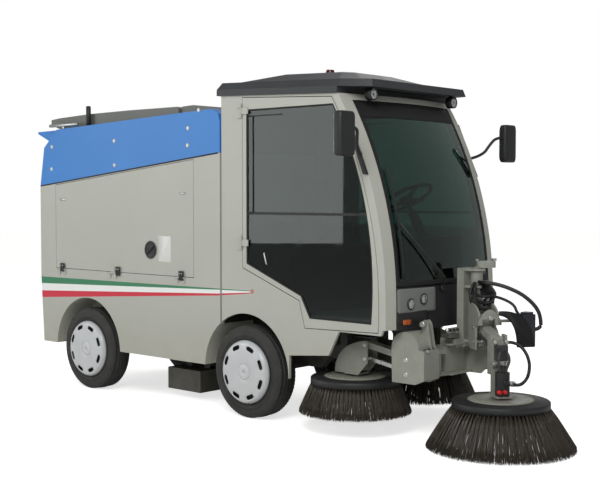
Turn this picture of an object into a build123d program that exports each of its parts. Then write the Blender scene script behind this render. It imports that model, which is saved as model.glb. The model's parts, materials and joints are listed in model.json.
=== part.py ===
from build123d import *
import os

os.makedirs("parts", exist_ok=True)

# X runs forward from the front axle, Y to the left, Z up from the ground.
# overall
half_width = 600
rear_reach = 2500
wheel_base = 1746
skin = 12
seat_gap = 0.3

# wheels
tyre_r = 320
tyre_w = 175
wheel_y = 507
rim_r = 205
rim_w = 140
bead_gap = 0.3
spindle_r = 24
spindle_clear = 0.05
hub_r = 62
arch_r = 400
rear_well = 250
front_well = 345
axle_hole_r = 280

# axles and steering
kingpin_y = 395
kingpin_r = 16
kingpin_clear = 0.05
yoke_gap = 0.4
beam_h = 50
beam_w = 70

# chassis
rail_y = 200
rail_w = 60
rail_h = 90
rail_bottom = 345.3
rail_kick_x = 360
rail_kick = 80
rail_front = 1205
rail_rear = 2250

# rear body
hopper_bottom = 780
hopper_top = 1570
body_rear = 2360
body_front = 245
body_bottom = 332
body_top_rear = 1597
body_top_front = 1815
flap_bottom = 940
flap_rear = 2149
flap_front = 516
flap_t = 12
flap_gap = 4
flap_hinge_x = (-2071, -1425, -655)
flap_hinge_z = 930
rear_hinge_y = (-380, 380)
rear_hinge_z = 1590
hinge_out = 8

# blue cover
cover_low_rear = 1597.8
cover_low_front = 1815.3
cover_top_front = 2121
cover_top_rear = 2048
cover_knee_x = 2131
cover_gap = 8

# cab
cab_rear = 228
pillar_foot_x = 1211
screen_r = 2540
screen_z = 850
plan_r = 2275
bulge = 70
cab_skin = 35
gutter_rear = 2202
gutter_slope = 0.0393
door_t = 30
door_gap = 5
glass_t = 5
door_hinge_x = -32
door_hinge_z = (2090, 1200)
hinge_pin_r = 4
hinge_barrel_r = 7
floor_z = 740
floor_t = 20
skirt_t = 20

# side brush arms
arm_y = 375
arm_front_x = 1245
arm_rear_x = 902
arm_front_z = 510
arm_rear_z = 570
rod_drop = 90
side_brush_x = 781
side_tip_z = 120
side_tip_r = 370
side_ring_r = 290
side_ring_z = 360
swing_x = 1330
swing_y = 245
pin_r = 10
pin_clear = 0.05

# front brush
mast_x = 1345
mast_y = 45
boom_x = 1430
bearing_z = (600, 945, 1052)
bearing_t = 16
boom_pin_r = 18
boom_post_r = 38
boom_angle = -35.5
front_reach = 405
front_tip_r = 455
front_ring_r = 295
front_ring_z = 300

shift = (rear_reach - boom_x - front_tip_r - front_reach * 0.8141) / 2


def save(solid, name):
    placed = Pos(shift, 0, 0) * solid
    placed.label = name
    export_step(placed, "parts/" + name + ".step")


def side_plane(y):
    return Plane(origin=(0, y, 0), x_dir=(1, 0, 0), z_dir=(0, -1, 0))


# ---- wheels
tyre_profile = [
    (rim_r + bead_gap, -tyre_w / 2 + 22),
    (rim_r + 40, -tyre_w / 2 + 4),
    (rim_r + 68, -tyre_w / 2),
    (tyre_r - 15, -tyre_w / 2 + 8),
    (tyre_r, -tyre_w / 2 + 28),
    (tyre_r, tyre_w / 2 - 28),
    (tyre_r - 15, tyre_w / 2 - 8),
    (rim_r + 68, tyre_w / 2),
    (rim_r + 40, tyre_w / 2 - 4),
    (rim_r + bead_gap, tyre_w / 2 - 22),
]
with BuildPart() as tyre:
    with BuildSketch(Plane.XY):
        with BuildLine():
            Polyline(*tyre_profile, close=True)
        make_face()
    revolve(axis=Axis.Y)

with BuildPart() as rim:
    with BuildSketch(Plane.XY):
        with BuildLine():
            Polyline(
                (rim_r, -rim_w / 2),
                (rim_r, rim_w / 2),
                (rim_r - 12, rim_w / 2),
                (rim_r - 12, -rim_w / 2 + 30),
                (120, -rim_w / 2 + 14),
                (hub_r, -rim_w / 2 + 8),
                (hub_r, 0),
                (spindle_r + spindle_clear, 0),
                (spindle_r + spindle_clear, -rim_w / 2 - 30),
                (hub_r, -rim_w / 2 - 30),
                (120, -rim_w / 2 - 14),
                (rim_r - 12, -rim_w / 2 - 4),
                close=True,
            )
        make_face()
    revolve(axis=Axis.Y)

wheel_table = [
    ("front_right", 0, -1),
    ("front_left", 0, 1),
    ("rear_right", -wheel_base, -1),
    ("rear_left", -wheel_base, 1),
]
for place, x, side in wheel_table:
    turn = 0 if side < 0 else 180
    spot = Pos(x, side * wheel_y, tyre_r) * Rot(0, 0, turn)
    save(spot * tyre.part, "tyre_" + place)
    save(spot * rim.part, "rim_" + place)

# ---- axles, knuckles
beam_z = tyre_r
spindle_end = wheel_y + rim_w / 2 + 20
with BuildPart() as axles:
    with Locations((0, 0, beam_z)):
        Box(beam_w, 2 * kingpin_y, beam_h)
    for side in (-1, 1):
        with Locations((0, side * kingpin_y, beam_z)):
            Cylinder(beam_w / 2, beam_h)
            Cylinder(kingpin_r + kingpin_clear, 2 * beam_h, mode=Mode.SUBTRACT)
    with Locations((-wheel_base, 0, beam_z)):
        Box(beam_w, 2 * (wheel_y - 55), beam_h)
        Cylinder(spindle_r, 2 * spindle_end, rotation=(90, 0, 0))
        Sphere(95)
save(axles.part, "axles")

yoke_z = beam_h / 2 + yoke_gap
with BuildPart() as knuckle:
    for level in (-1, 1):
        with Locations((0, -kingpin_y - 12, beam_z + level * (yoke_z + 12))):
            Box(56, 94, 24)
    with Locations((0, -kingpin_y - 50, beam_z)):
        Box(56, 18, 2 * yoke_z + 48)
    with Locations((0, -kingpin_y, beam_z)):
        Cylinder(kingpin_r, 2 * yoke_z + 10)
    with BuildSketch(side_plane(-kingpin_y - 54)):
        with Locations((0, beam_z)):
            Circle(spindle_r)
    extrude(amount=spindle_end - kingpin_y - 54)
    with Locations((-75, -kingpin_y + 12, beam_z - yoke_z - 12)):
        Box(110, 30, 20)
save(knuckle.part, "knuckle_right")
save(mirror(knuckle.part, about=Plane.XZ), "knuckle_left")

# ---- chassis
with BuildPart() as chassis:
    for side in (-1, 1):
        with BuildSketch(Plane.XZ.offset(-side * rail_y)):
            Polygon(
                (-rail_rear, rail_bottom),
                (rail_kick_x, rail_bottom),
                (rail_kick_x + rail_kick, rail_bottom + rail_kick),
                (rail_front, rail_bottom + rail_kick),
                (rail_front, rail_bottom + rail_kick + rail_h),
                (rail_kick_x - 40, rail_bottom + rail_kick + rail_h),
                (rail_kick_x - 120, rail_bottom + rail_h),
                (-rail_rear, rail_bottom + rail_h),
                align=None,
            )
        extrude(amount=rail_w / 2, both=True)
    for x in (-rail_rear + 30, -1150, -560):
        with Locations((x, 0, rail_bottom + rail_h / 2)):
            Box(60, 2 * rail_y, rail_h - 20)
    for x in (560, rail_front - 30):
        with Locations((x, 0, rail_bottom + rail_kick + rail_h / 2)):
            Box(60, 2 * rail_y, rail_h - 20)
    # outriggers for the rear body
    for x in (-rail_rear + 30, -1150, -560):
        with Locations((x, 0, rail_bottom + 35)):
            Box(50, 2 * (half_width - skin - seat_gap), 50)
    # cab and hopper mounts
    cab_mount = floor_z - floor_t - seat_gap - rail_bottom - rail_kick - rail_h
    for x in (560, 1000):
        for side in (-1, 1):
            with Locations((x, side * rail_y, floor_z - floor_t - seat_gap - cab_mount / 2 - 1)):
                Box(60, 50, cab_mount + 2)
    for x in (-2180, -1150):
        for side in (-1, 1):
            with Locations((x, side * rail_y, (rail_bottom + hopper_bottom - seat_gap) / 2)):
                Box(50, 50, hopper_bottom - seat_gap - rail_bottom)
save(chassis.part, "chassis")

with BuildPart() as engine:
    with Locations((-780, 0, (rail_bottom + rail_h + seat_gap + 1150) / 2)):
        Box(420, 460, 1150 - rail_bottom - rail_h - seat_gap)
save(engine.part, "engine")

# ---- rear body shell
body_side = [
    (-body_rear + 32, body_bottom),
    (-body_rear, 864),
    (-body_rear, body_top_rear),
    (-body_front, body_top_front),
    (-body_front, body_bottom),
]
inner_side = [
    (-body_rear + 32 + skin, body_bottom - 50),
    (-body_rear + skin, 864),
    (-body_rear + skin, body_top_rear + 60),
    (-body_front - skin, body_top_front + 60),
    (-body_front - skin, body_bottom - 50),
]
with BuildPart() as body_hollow:
    with BuildSketch(Plane.XZ):
        with BuildLine():
            Polyline(*inner_side, close=True)
        make_face()
    extrude(amount=half_width - skin, both=True)
    for x, well in ((-wheel_base, rear_well), (0, front_well)):
        for side in (-1, 1):
            with Locations((x, side * (half_width - well / 2), tyre_r)):
                Cylinder(
                    arch_r + skin,
                    well + 2 * skin,
                    rotation=(90, 0, 0),
                    mode=Mode.SUBTRACT,
                )

flap_slope = (body_top_front - body_top_rear) / (body_rear - body_front)


def flap_top(x):
    return body_top_rear + flap_slope * (x + body_rear) - 14


with BuildPart() as body_shell:
    with BuildSketch(Plane.XZ):
        with BuildLine():
            Polyline(*body_side, close=True)
        make_face()
    extrude(amount=half_width, both=True)
    add(body_hollow.part, mode=Mode.SUBTRACT)
    for x, well in ((-wheel_base, rear_well), (0, front_well)):
        for side in (-1, 1):
            with Locations((x, side * (half_width - well / 2 + 5), tyre_r)):
                Cylinder(arch_r, well + 10, rotation=(90, 0, 0), mode=Mode.SUBTRACT)
        with Locations((x, 0, tyre_r)):
            Cylinder(axle_hole_r, 900, rotation=(90, 0, 0), mode=Mode.SUBTRACT)
    with Locations((-body_front, 0, 500)):
        Box(60, 1120, 400, mode=Mode.SUBTRACT)
    # flap openings
    with BuildSketch(Plane.XZ):
        with BuildLine():
            Polyline(
                (-flap_rear - flap_gap, flap_bottom - flap_gap),
                (-flap_rear - flap_gap, flap_top(-flap_rear) + flap_gap),
                (-flap_front + flap_gap, flap_top(-flap_front) + flap_gap),
                (-flap_front + flap_gap, flap_bottom - flap_gap),
                close=True,
            )
        make_face()
    extrude(amount=half_width + 10, both=True, mode=Mode.SUBTRACT)
    # rear door opening
    with Locations((-body_rear, 0, 1180)):
        Box(120, 1010, 800, mode=Mode.SUBTRACT)
with BuildPart() as flap_knuckles:
    for x in flap_hinge_x:
        with Locations((x, -half_width - hinge_out, flap_hinge_z)):
            Cylinder(hinge_pin_r, 94, rotation=(0, 90, 0))
        for end in (-1, 1):
            with Locations((x + end * 35, -half_width - hinge_out, flap_hinge_z)):
                Cylinder(hinge_barrel_r, 25, rotation=(0, 90, 0))
            with Locations((x + end * 35, -half_width - hinge_out + 4.5, flap_hinge_z - 20)):
                Box(25, 9, 40)
with BuildPart() as rear_knuckles:
    for y in rear_hinge_y:
        with Locations((-body_rear - hinge_out - 6, y, rear_hinge_z)):
            Cylinder(hinge_pin_r, 94, rotation=(90, 0, 0))
        for end in (-1, 1):
            with Locations((-body_rear - hinge_out - 6, y + end * 35, rear_hinge_z)):
                Cylinder(hinge_barrel_r, 25, rotation=(90, 0, 0))
            with Locations((-body_rear - 7, y + end * 35, rear_hinge_z + 2)):
                Box(15, 25, 10)
hinged_body = (
    body_shell.part + flap_knuckles.part + mirror(flap_knuckles.part, about=Plane.XZ) + rear_knuckles.part
)
save(hinged_body, "body_shell")

with BuildPart() as flap:
    with BuildSketch(side_plane(-half_width + flap_t)):
        with BuildLine():
            Polyline(
                (-flap_rear, flap_bottom),
                (-flap_rear, flap_top(-flap_rear)),
                (-flap_front, flap_top(-flap_front)),
                (-flap_front, flap_bottom),
                close=True,
            )
        make_face()
    extrude(amount=flap_t)
with BuildPart() as flap_leaves:
    for x in flap_hinge_x:
        with Locations((x, -half_width - hinge_out, flap_hinge_z)):
            Cylinder(hinge_barrel_r, 44, rotation=(0, 90, 0))
        with Locations((x, -half_width - hinge_out + 4.5, flap_hinge_z + 24)):
            Box(44, 7, 48)
        with Locations((x, -half_width - hinge_out, flap_hinge_z)):
            Cylinder(hinge_pin_r + pin_clear, 60, rotation=(0, 90, 0), mode=Mode.SUBTRACT)
hung_flap = flap.part + flap_leaves.part
save(hung_flap, "flap_right")
save(mirror(hung_flap, about=Plane.XZ), "flap_left")

with BuildPart() as hopper:
    with Locations((-1720, 0, (hopper_top + hopper_bottom) / 2)):
        Box(1190, 960, hopper_top - hopper_bottom)
        Box(1178, 948, hopper_top - hopper_bottom - 12, mode=Mode.SUBTRACT)
    with Locations((-2310, 0, (hopper_top + hopper_bottom) / 2)):
        Box(60, 948, hopper_top - hopper_bottom - 12, mode=Mode.SUBTRACT)
save(hopper.part, "hopper")

with BuildPart() as rear_door:
    with Locations((-body_rear + 3, 0, 1180)):
        Box(26, 1000, 790)
with BuildPart() as rear_leaves:
    for y in rear_hinge_y:
        with Locations((-body_rear - hinge_out - 6, y, rear_hinge_z)):
            Cylinder(hinge_barrel_r, 44, rotation=(90, 0, 0))
        with Locations((-body_rear - hinge_out - 2, y, rear_hinge_z - 24)):
            Box(8, 44, 48)
        with Locations((-body_rear - hinge_out - 6, y, rear_hinge_z)):
            Cylinder(hinge_pin_r + pin_clear, 60, rotation=(90, 0, 0), mode=Mode.SUBTRACT)
hung_rear = rear_door.part + rear_leaves.part
save(hung_rear, "rear_door")

# ---- blue cover
with BuildPart() as cover:
    with BuildSketch(Plane.XZ):
        with BuildLine():
            Polyline(
                (-body_rear, cover_low_rear),
                (-2303, 1907),
                (-cover_knee_x, cover_top_rear),
                (-325, cover_top_front),
                (-262, 2085),
                (-body_front, 2030),
                (-body_front, cover_low_front),
                close=True,
            )
        make_face()
    extrude(amount=half_width, both=True)
    with BuildSketch(Plane.XZ):
        with BuildLine():
            Polyline(
                (-body_rear + 5 + skin, cover_low_rear - 60),
                (-2303 + skin, 1907),
                (-cover_knee_x + skin, cover_top_rear - skin),
                (-325 - skin, cover_top_front - skin),
                (-body_front - skin, 2030 - skin),
                (-body_front - skin, cover_low_front - 60),
                close=True,
            )
        make_face()
    extrude(amount=half_width - skin, both=True, mode=Mode.SUBTRACT)
with BuildPart() as cover_spout:
    with BuildSketch(Plane.XZ):
        Polygon((-rear_reach, 2030), (-rear_reach, 2045), (-2150, 2052), (-2262, 1930), align=None)
    extrude(amount=520, both=True)
with BuildPart() as blue_cover:
    add(cover.part)
    add(cover_spout.part)
save(blue_cover.part, "top_cover")

# ---- cab
pillar_arc_x = pillar_foot_x + bulge
axis_x = pillar_arc_x - plan_r


def screen_x(z, inset):
    if z <= screen_z:
        return pillar_arc_x - inset
    radius = screen_r - inset
    return pillar_arc_x - screen_r + (radius**2 - (z - screen_z) ** 2) ** 0.5


def cab_form(low, high, inset, spread):
    with BuildPart() as form:
        with BuildSketch(Plane.XZ):
            with BuildLine():
                Line((axis_x, low), (screen_x(low, inset), low))
                if low < screen_z:
                    Line((screen_x(low, inset), low), (screen_x(low, inset), screen_z))
                start = max(low, screen_z)
                middle = (start + high) / 2
                ThreePointArc(
                    (screen_x(start, inset), start),
                    (screen_x(middle, inset), middle),
                    (screen_x(high, inset), high),
                )
                Line((screen_x(high, inset), high), (axis_x, high))
                Line((axis_x, high), (axis_x, low))
            make_face()
        revolve(axis=Axis((axis_x, 0, 0), (0, 0, 1)), revolution_arc=spread)
    return Pos(axis_x, 0, 0) * Rot(0, 0, -spread / 2) * Pos(-axis_x, 0, 0) * form.part


def gutter(x):
    return gutter_rear - gutter_slope * (x + 230)


# ---- door outline, also cut from the cab
screen_half = 520
screen_gap = 0.3


def door_outline(grow):
    top = 2180 + grow
    with BuildLine() as edge:
        Polyline(
            (-22 - grow, gutter(-22) - 16 + grow),
            (-22 - grow, 1034 - grow),
            (497 - grow, 841 - grow),
            (545 - grow, 666 - grow),
            (screen_x(690, 70 + bulge) + grow, 682 - grow),
            close=False,
        )
        ThreePointArc(
            (screen_x(690, 70 + bulge) + grow, 682 - grow),
            (screen_x(1500, 70 + bulge) + grow, 1500),
            (screen_x(2140, 70 + bulge) + grow, 2140 + grow),
        )
        Line((screen_x(2140, 70 + bulge) + grow, 2140 + grow), (-22 - grow, gutter(-22) - 16 + grow))
    return edge.line


with BuildPart() as door_body:
    with BuildSketch(side_plane(-half_width + door_t)):
        add(door_outline(0))
        make_face()
    extrude(amount=door_t)

with BuildPart() as door_form:
    with BuildSketch(side_plane(-half_width + 120)):
        add(door_outline(door_gap))
        make_face()
    extrude(amount=140)


with BuildPart() as screen_hole:
    with Locations((1100, 0, 1400)):
        Box(900, 2 * screen_half + 2 * screen_gap, 1440)
    add(cab_form(500, 2300, cab_skin + 6, 120), mode=Mode.SUBTRACT)

with BuildPart() as door_knuckles:
    for z in door_hinge_z:
        with Locations((door_hinge_x, -half_width - hinge_out, z)):
            Cylinder(hinge_pin_r, 94)
        for end in (-1, 1):
            with Locations((door_hinge_x, -half_width - hinge_out, z + end * 35)):
                Cylinder(hinge_barrel_r, 25)
            with Locations((door_hinge_x - 20, -half_width - hinge_out + 4.5, z + end * 35)):
                Box(40, 9, 25)

cab_outline = [
    (-cab_rear, 560),
    (-cab_rear, gutter(-cab_rear)),
    (1400, gutter(1400)),
    (1400, 700),
    (1180, 700),
    (1165, 664),
    (830, 664),
    (745, 505),
    (405, 473),
    (405, 320),
    (-cab_rear, 320),
]
with BuildPart() as under_floor:
    with Locations((500, 0, (floor_z - floor_t) / 2)):
        Box(1480, 2 * (half_width - skirt_t), floor_z - floor_t)
    add(cab_form(0, 900, skirt_t, 120), mode=Mode.INTERSECT)

with BuildPart() as cab_hollow:
    with Locations(((1400 - cab_rear) / 2 + skin, 0, (floor_z + 2400) / 2)):
        Box(1400 + cab_rear, 2 * (half_width - cab_skin), 2400 - floor_z)
    add(cab_form(300, 2500, cab_skin, 100), mode=Mode.INTERSECT)

with BuildPart() as cab_shell:
    with BuildSketch(Plane.XZ):
        with BuildLine():
            Polyline(*cab_outline, close=True)
        make_face()
    extrude(amount=half_width, both=True)
    add(cab_form(300, 2300, 0, 100), mode=Mode.INTERSECT)
    add(cab_hollow.part, mode=Mode.SUBTRACT)
    for side in (-1, 1):
        with Locations((0, side * (half_width - front_well / 2 + 5), tyre_r)):
            Cylinder(arch_r, front_well + 10, rotation=(90, 0, 0), mode=Mode.SUBTRACT)
    with Locations((0, 0, tyre_r)):
        Cylinder(axle_hole_r, 900, rotation=(90, 0, 0), mode=Mode.SUBTRACT)
    # under the floor
    add(under_floor.part, mode=Mode.SUBTRACT)
    # door openings
    add(door_form.part, mode=Mode.SUBTRACT)
    add(mirror(door_form.part, about=Plane.XZ), mode=Mode.SUBTRACT)
    # windscreen and front panel opening
    add(screen_hole.part, mode=Mode.SUBTRACT)
    # rear window
    with Locations((-cab_rear, 0, 1800)):
        Box(200, 760, 420, mode=Mode.SUBTRACT)
cab_hinged = cab_shell.part + door_knuckles.part + mirror(door_knuckles.part, about=Plane.XZ)
save(cab_hinged, "cab_shell")

# ---- windscreen and front panel
with BuildPart() as screen:
    add(cab_form(960, 2119.5, 6, 100))
    add(cab_form(900, 2200, 6 + glass_t, 120), mode=Mode.SUBTRACT)
    with Locations((1100, 0, 1500)):
        Box(1200, 2 * screen_half, 2000, mode=Mode.INTERSECT)
save(screen.part, "windscreen")

with BuildPart() as front_panel:
    add(cab_form(690, 955, 2, 100))
    add(cab_form(600, 1000, 40, 120), mode=Mode.SUBTRACT)
    with Locations((1100, 0, 1500)):
        Box(1200, 2 * screen_half, 2000, mode=Mode.INTERSECT)
with BuildPart() as head_lamps:
    add(cab_form(762, 942, -4, 100))
    add(cab_form(600, 1000, 60, 120), mode=Mode.SUBTRACT)
    with Locations((1100, 0, 1500)):
        Box(1200, 2 * (screen_half - 8), 2000, mode=Mode.INTERSECT)
        Box(1300, 2 * 270, 2100, mode=Mode.SUBTRACT)
with BuildPart() as lamp_holes:
    add(cab_form(762 - seat_gap, 942 + seat_gap, -20, 100))
    with Locations((1100, 0, 1500)):
        Box(1200, 2 * (screen_half - 8 + seat_gap), 2000, mode=Mode.INTERSECT)
        Box(1300, 2 * (270 - seat_gap), 2100, mode=Mode.SUBTRACT)
with BuildPart() as black_panel:
    add(front_panel.part)
    add(lamp_holes.part, mode=Mode.SUBTRACT)
save(black_panel.part, "front_panel")

# ---- doors
with BuildPart() as door_leaves:
    for z in door_hinge_z:
        with Locations((door_hinge_x, -half_width - hinge_out, z)):
            Cylinder(hinge_barrel_r, 44)
        with Locations((door_hinge_x + 32, -half_width - hinge_out + 4.5, z)):
            Box(64, 7, 44)
        with Locations((door_hinge_x, -half_width - hinge_out, z)):
            Cylinder(hinge_pin_r + pin_clear, 60, mode=Mode.SUBTRACT)

with BuildPart() as door:
    add(door_body.part)
    with BuildSketch(side_plane(0)):
        with BuildLine():
            Polyline(
                (12, 2138 - 40),
                (12, 1060),
                (505, 868),
                (582, 728),
                (1090, 728),
                close=False,
            )
            ThreePointArc((1090, 728), (screen_x(1500, 160), 1500), (screen_x(2098, 150), 2098))
            Line((screen_x(2098, 150), 2098), (12, 2098))
        make_face()
    extrude(amount=700, mode=Mode.SUBTRACT)
hung_door = door.part + door_leaves.part
save(hung_door, "door_right")
save(mirror(hung_door, about=Plane.XZ), "door_left")

with BuildPart() as door_glass:
    with BuildSketch(side_plane(-half_width + 14)):
        with BuildLine():
            Polyline(
                (12 + seat_gap, 2098 - seat_gap),
                (12 + seat_gap, 1060 + seat_gap),
                (505, 868 + seat_gap),
                (582, 728 + seat_gap),
                (1090 - seat_gap, 728 + seat_gap),
                close=False,
            )
            ThreePointArc(
                (1090 - seat_gap, 728 + seat_gap),
                (screen_x(1500, 160) - seat_gap, 1500),
                (screen_x(2098, 150) - seat_gap, 2098 - seat_gap),
            )
            Line((screen_x(2098, 150) - seat_gap, 2098 - seat_gap), (12 + seat_gap, 2098 - seat_gap))
        make_face()
    extrude(amount=glass_t)
save(door_glass.part, "door_glass_right")
save(mirror(door_glass.part, about=Plane.XZ), "door_glass_left")

# ---- roof
roof_plane = Plane(
    origin=(0, 0, gutter(0) + seat_gap),
    x_dir=(1, 0, -gutter_slope),
    z_dir=(gutter_slope, 0, 1),
)
with BuildPart() as roof:
    with BuildSketch(roof_plane):
        Polygon((-262, -612), (820, -612), (820, 612), (-262, 612), align=None)
    extrude(amount=42)
    with BuildSketch(roof_plane.offset(42)):
        Polygon((-262, -612), (830, -612), (1025, -515), (1025, 515), (830, 612), (-262, 612), align=None)
    with BuildSketch(roof_plane.offset(90)):
        Polygon((-240, -580), (820, -580), (1010, -500), (1010, 500), (820, 580), (-240, 580), align=None)
    loft()
    with BuildSketch(roof_plane.offset(90)):
        Polygon((-180, -520), (760, -520), (880, -440), (880, 440), (760, 520), (-180, 520), align=None)
    with BuildSketch(roof_plane.offset(165)):
        Polygon((60, -260), (560, -260), (620, -200), (620, 200), (560, 260), (60, 260), align=None)
    loft()
    # cab interior headroom
    with Locations((280, 0, 2200)):
        Box(840, 1000, 70, mode=Mode.SUBTRACT)
save(roof.part, "roof")

beacon_plane = roof_plane.offset(165 + seat_gap)
with BuildPart() as beacon:
    with BuildSketch(beacon_plane):
        with Locations((236, 0)):
            Circle(45)
    extrude(amount=14)
    with BuildSketch(beacon_plane.offset(14)):
        with Locations((236, 0)):
            Circle(36)
    with BuildSketch(beacon_plane.offset(46)):
        with Locations((236, 0)):
            Circle(26)
    loft()
save(beacon.part, "beacon")

# ---- lamps and mirrors
with BuildPart() as lamps:
    add(head_lamps.part)
    for side in (-1, 1):
        with Locations((955, side * 440, 2155)):
            Cylinder(38, 46, rotation=(0, 90, 0))
        with Locations((955, side * 440, 2187)):
            Box(24, 24, 20)
save(lamps.part, "lamps")

with BuildPart() as mirrors:
    for side in (-1, 1):
        with Locations((1124, side * 900, 1885)):
            Box(62, 144, 262)
        with BuildSketch(Plane(origin=(963, side * (half_width + 6.3), 1850), z_dir=(0, side, 0))):
            Rectangle(40, 90)
        extrude(amount=6, both=True)
        with BuildSketch(Plane(origin=(963, side * (half_width + 8), 1850), z_dir=(0.5, side, 0))):
            Circle(11)
        extrude(amount=300)
save(mirrors.part, "mirrors")

# ---- cab inside
column_plane = Plane(origin=(950, 0, 1413), x_dir=(0, 1, 0), z_dir=(-0.5, 0, 0.866))
with BuildPart() as dash:
    with Locations((1070, 0, (floor_z + seat_gap + 1250) / 2)):
        Box(150, 600, 1250 - floor_z - seat_gap)
    with BuildSketch(column_plane.offset(-10)):
        Circle(30)
    extrude(amount=-260)
    with BuildSketch(column_plane.offset(0)):
        Circle(14 + spindle_clear)
    extrude(amount=-120, mode=Mode.SUBTRACT)
save(dash.part, "dashboard")

with BuildPart() as seat_frame:
    with Locations((260, 0, floor_z + 170)):
        Box(420, 400, 340)
save(seat_frame.part, "seat_base")

with BuildPart() as seat_pads:
    with Locations((280, 0, floor_z + 390 + seat_gap)):
        Box(480, 470, 100)
    with Locations((60, 0, floor_z + 440 + 2 * seat_gap + 240)):
        Box(100, 450, 480)
save(seat_pads.part, "seat_pads")

with BuildPart() as steering_wheel:
    with BuildSketch(Plane(origin=column_plane.origin, x_dir=(0.866, 0, 0.5), z_dir=(0, 1, 0))):
        with Locations((180, -100)):
            RegularPolygon(13, 8)
    revolve(axis=Axis(column_plane.origin, column_plane.z_dir))
    with BuildSketch(column_plane.offset(70)):
        Circle(45)
    extrude(amount=36)
    for spoke in (0, 120, 240):
        with BuildSketch(column_plane.offset(80)):
            with PolarLocations(0, 1, start_angle=spoke):
                with Locations((105, 0)):
                    Rectangle(150, 26)
        extrude(amount=14)
    with BuildSketch(column_plane.offset(-90)):
        Circle(14)
    extrude(amount=170)
save(steering_wheel.part, "steering_wheel")

# ---- front frame with mast
with BuildPart() as front_frame:
    with Locations((1270, 0, 475)):
        Box(120, 300, 180)
    with Locations(((rail_front + seat_gap + 1280) / 2, 0, 475)):
        Box(1280 - rail_front - seat_gap, 500, 162)
    with Locations((mast_x + 5, mast_y, 810)):
        Box(50, 130, 500)
    with Locations((1310, mast_y - 20, 590)):
        Box(120, 240, 50)
    # boom bearings
    for z in bearing_z:
        with Locations((boom_x - 30, mast_y, z)):
            Box(100, 110, bearing_t)
        with Locations((boom_x, mast_y, z)):
            Cylinder(55, bearing_t)
    for z in bearing_z:
        with Locations((boom_x, mast_y, z)):
            Cylinder(boom_pin_r + pin_clear, 60, mode=Mode.SUBTRACT)
    # swing lugs
    for side in (-1, 1):
        for z in (405, 545):
            with Locations((swing_x - 20, side * (swing_y - 20), z)):
                Box(80, 70, 22)
        with Locations((swing_x, side * swing_y, 475)):
            Cylinder(pin_r + pin_clear, 300, mode=Mode.SUBTRACT)
save(front_frame.part, "front_frame")

# ---- side brush arms
arm_len_x = arm_front_x - arm_rear_x
with BuildPart() as bracket:
    for y in (-arm_y - 74, -arm_y + 74):
        with BuildSketch(side_plane(y + 6)):
            with BuildLine():
                Polyline((1140, 388), (1385, 388), (1385, 560), (1330, 575), close=False)
                ThreePointArc((1330, 575), (1235, 655), (1140, 575))
                Line((1140, 575), (1140, 388))
            make_face()
        extrude(amount=12)
    with Locations((1330, -arm_y, 475)):
        Box(106, 150, 170)
    with Locations((swing_x, -(arm_y - 74 + swing_y) / 2, 475)):
        Box(50, arm_y - 74 - swing_y, 110)
    with Locations((swing_x, -swing_y, 475)):
        Cylinder(28, 110)
        Cylinder(pin_r, 162)
    for z in (arm_front_z, arm_front_z - rod_drop):
        with Locations((arm_front_x, -arm_y, z)):
            Cylinder(pin_r, 150, rotation=(90, 0, 0))
save(bracket.part, "swing_bracket_right")
save(mirror(bracket.part, about=Plane.XZ), "swing_bracket_left")


def bar(plane, start, end, radius, width, bore):
    with BuildPart() as link:
        with BuildSketch(plane):
            with BuildLine():
                Line(start, end)
            trace(line_width=radius * 1.5)
            with Locations(start, end):
                Circle(radius)
            with Locations(start, end):
                Circle(bore, mode=Mode.SUBTRACT)
        extrude(amount=width / 2, both=True)
    return link.part


arm_bar = bar(
    side_plane(-arm_y),
    (arm_front_x, arm_front_z),
    (arm_rear_x, arm_rear_z),
    26,
    70,
    pin_r + pin_clear,
)
save(arm_bar, "arm_right")
save(mirror(arm_bar, about=Plane.XZ), "arm_left")
rod_bar = bar(
    side_plane(-arm_y),
    (arm_front_x, arm_front_z - rod_drop),
    (arm_rear_x, arm_rear_z - rod_drop),
    16,
    26,
    pin_r + pin_clear,
)
save(rod_bar, "arm_rod_right")
save(mirror(rod_bar, about=Plane.XZ), "arm_rod_left")

with BuildPart() as head:
    for y in (-arm_y - 45, -arm_y + 45):
        with Locations((arm_rear_x - 10, y, 500)):
            Box(70, 14, 200)
    with Locations((arm_rear_x - 52, -arm_y, 480)):
        Box(16, 104, 216)
    with Locations((side_brush_x + 10, -arm_y, side_ring_z + 16)):
        Box(116, 104, 12)
    for z in (arm_rear_z, arm_rear_z - rod_drop):
        with Locations((arm_rear_x, -arm_y, z)):
            Cylinder(pin_r, 100, rotation=(90, 0, 0))
    with Locations((side_brush_x, -arm_y, 430)):
        Cylinder(45, 120)
        Cylinder(15, 200)
save(head.part, "brush_head_right")
save(mirror(head.part, about=Plane.XZ), "brush_head_left")


def brush(x, y, tip_z, tip_r, ring_r, ring_z):
    with BuildPart() as disc:
        with BuildSketch(Plane.XZ):
            with BuildLine():
                Polyline(
                    (15 + pin_clear, ring_z + 2),
                    (190, ring_z + 2),
                    (205, ring_z - 8),
                    (ring_r, ring_z - 8),
                    (ring_r, ring_z - 52),
                    (tip_r, tip_z),
                    (tip_r - 70, tip_z),
                    (ring_r - 50, ring_z - 52),
                    (ring_r - 60, ring_z - 30),
                    (15 + pin_clear, ring_z - 30),
                    close=True,
                )
            make_face()
        revolve(axis=Axis.Z)
    return Pos(x, y, 0) * disc.part


side_brush = brush(side_brush_x, -arm_y, side_tip_z, side_tip_r, side_ring_r, side_ring_z)
save(side_brush, "side_brush_right")
save(mirror(side_brush, about=Plane.XZ), "side_brush_left")

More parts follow.
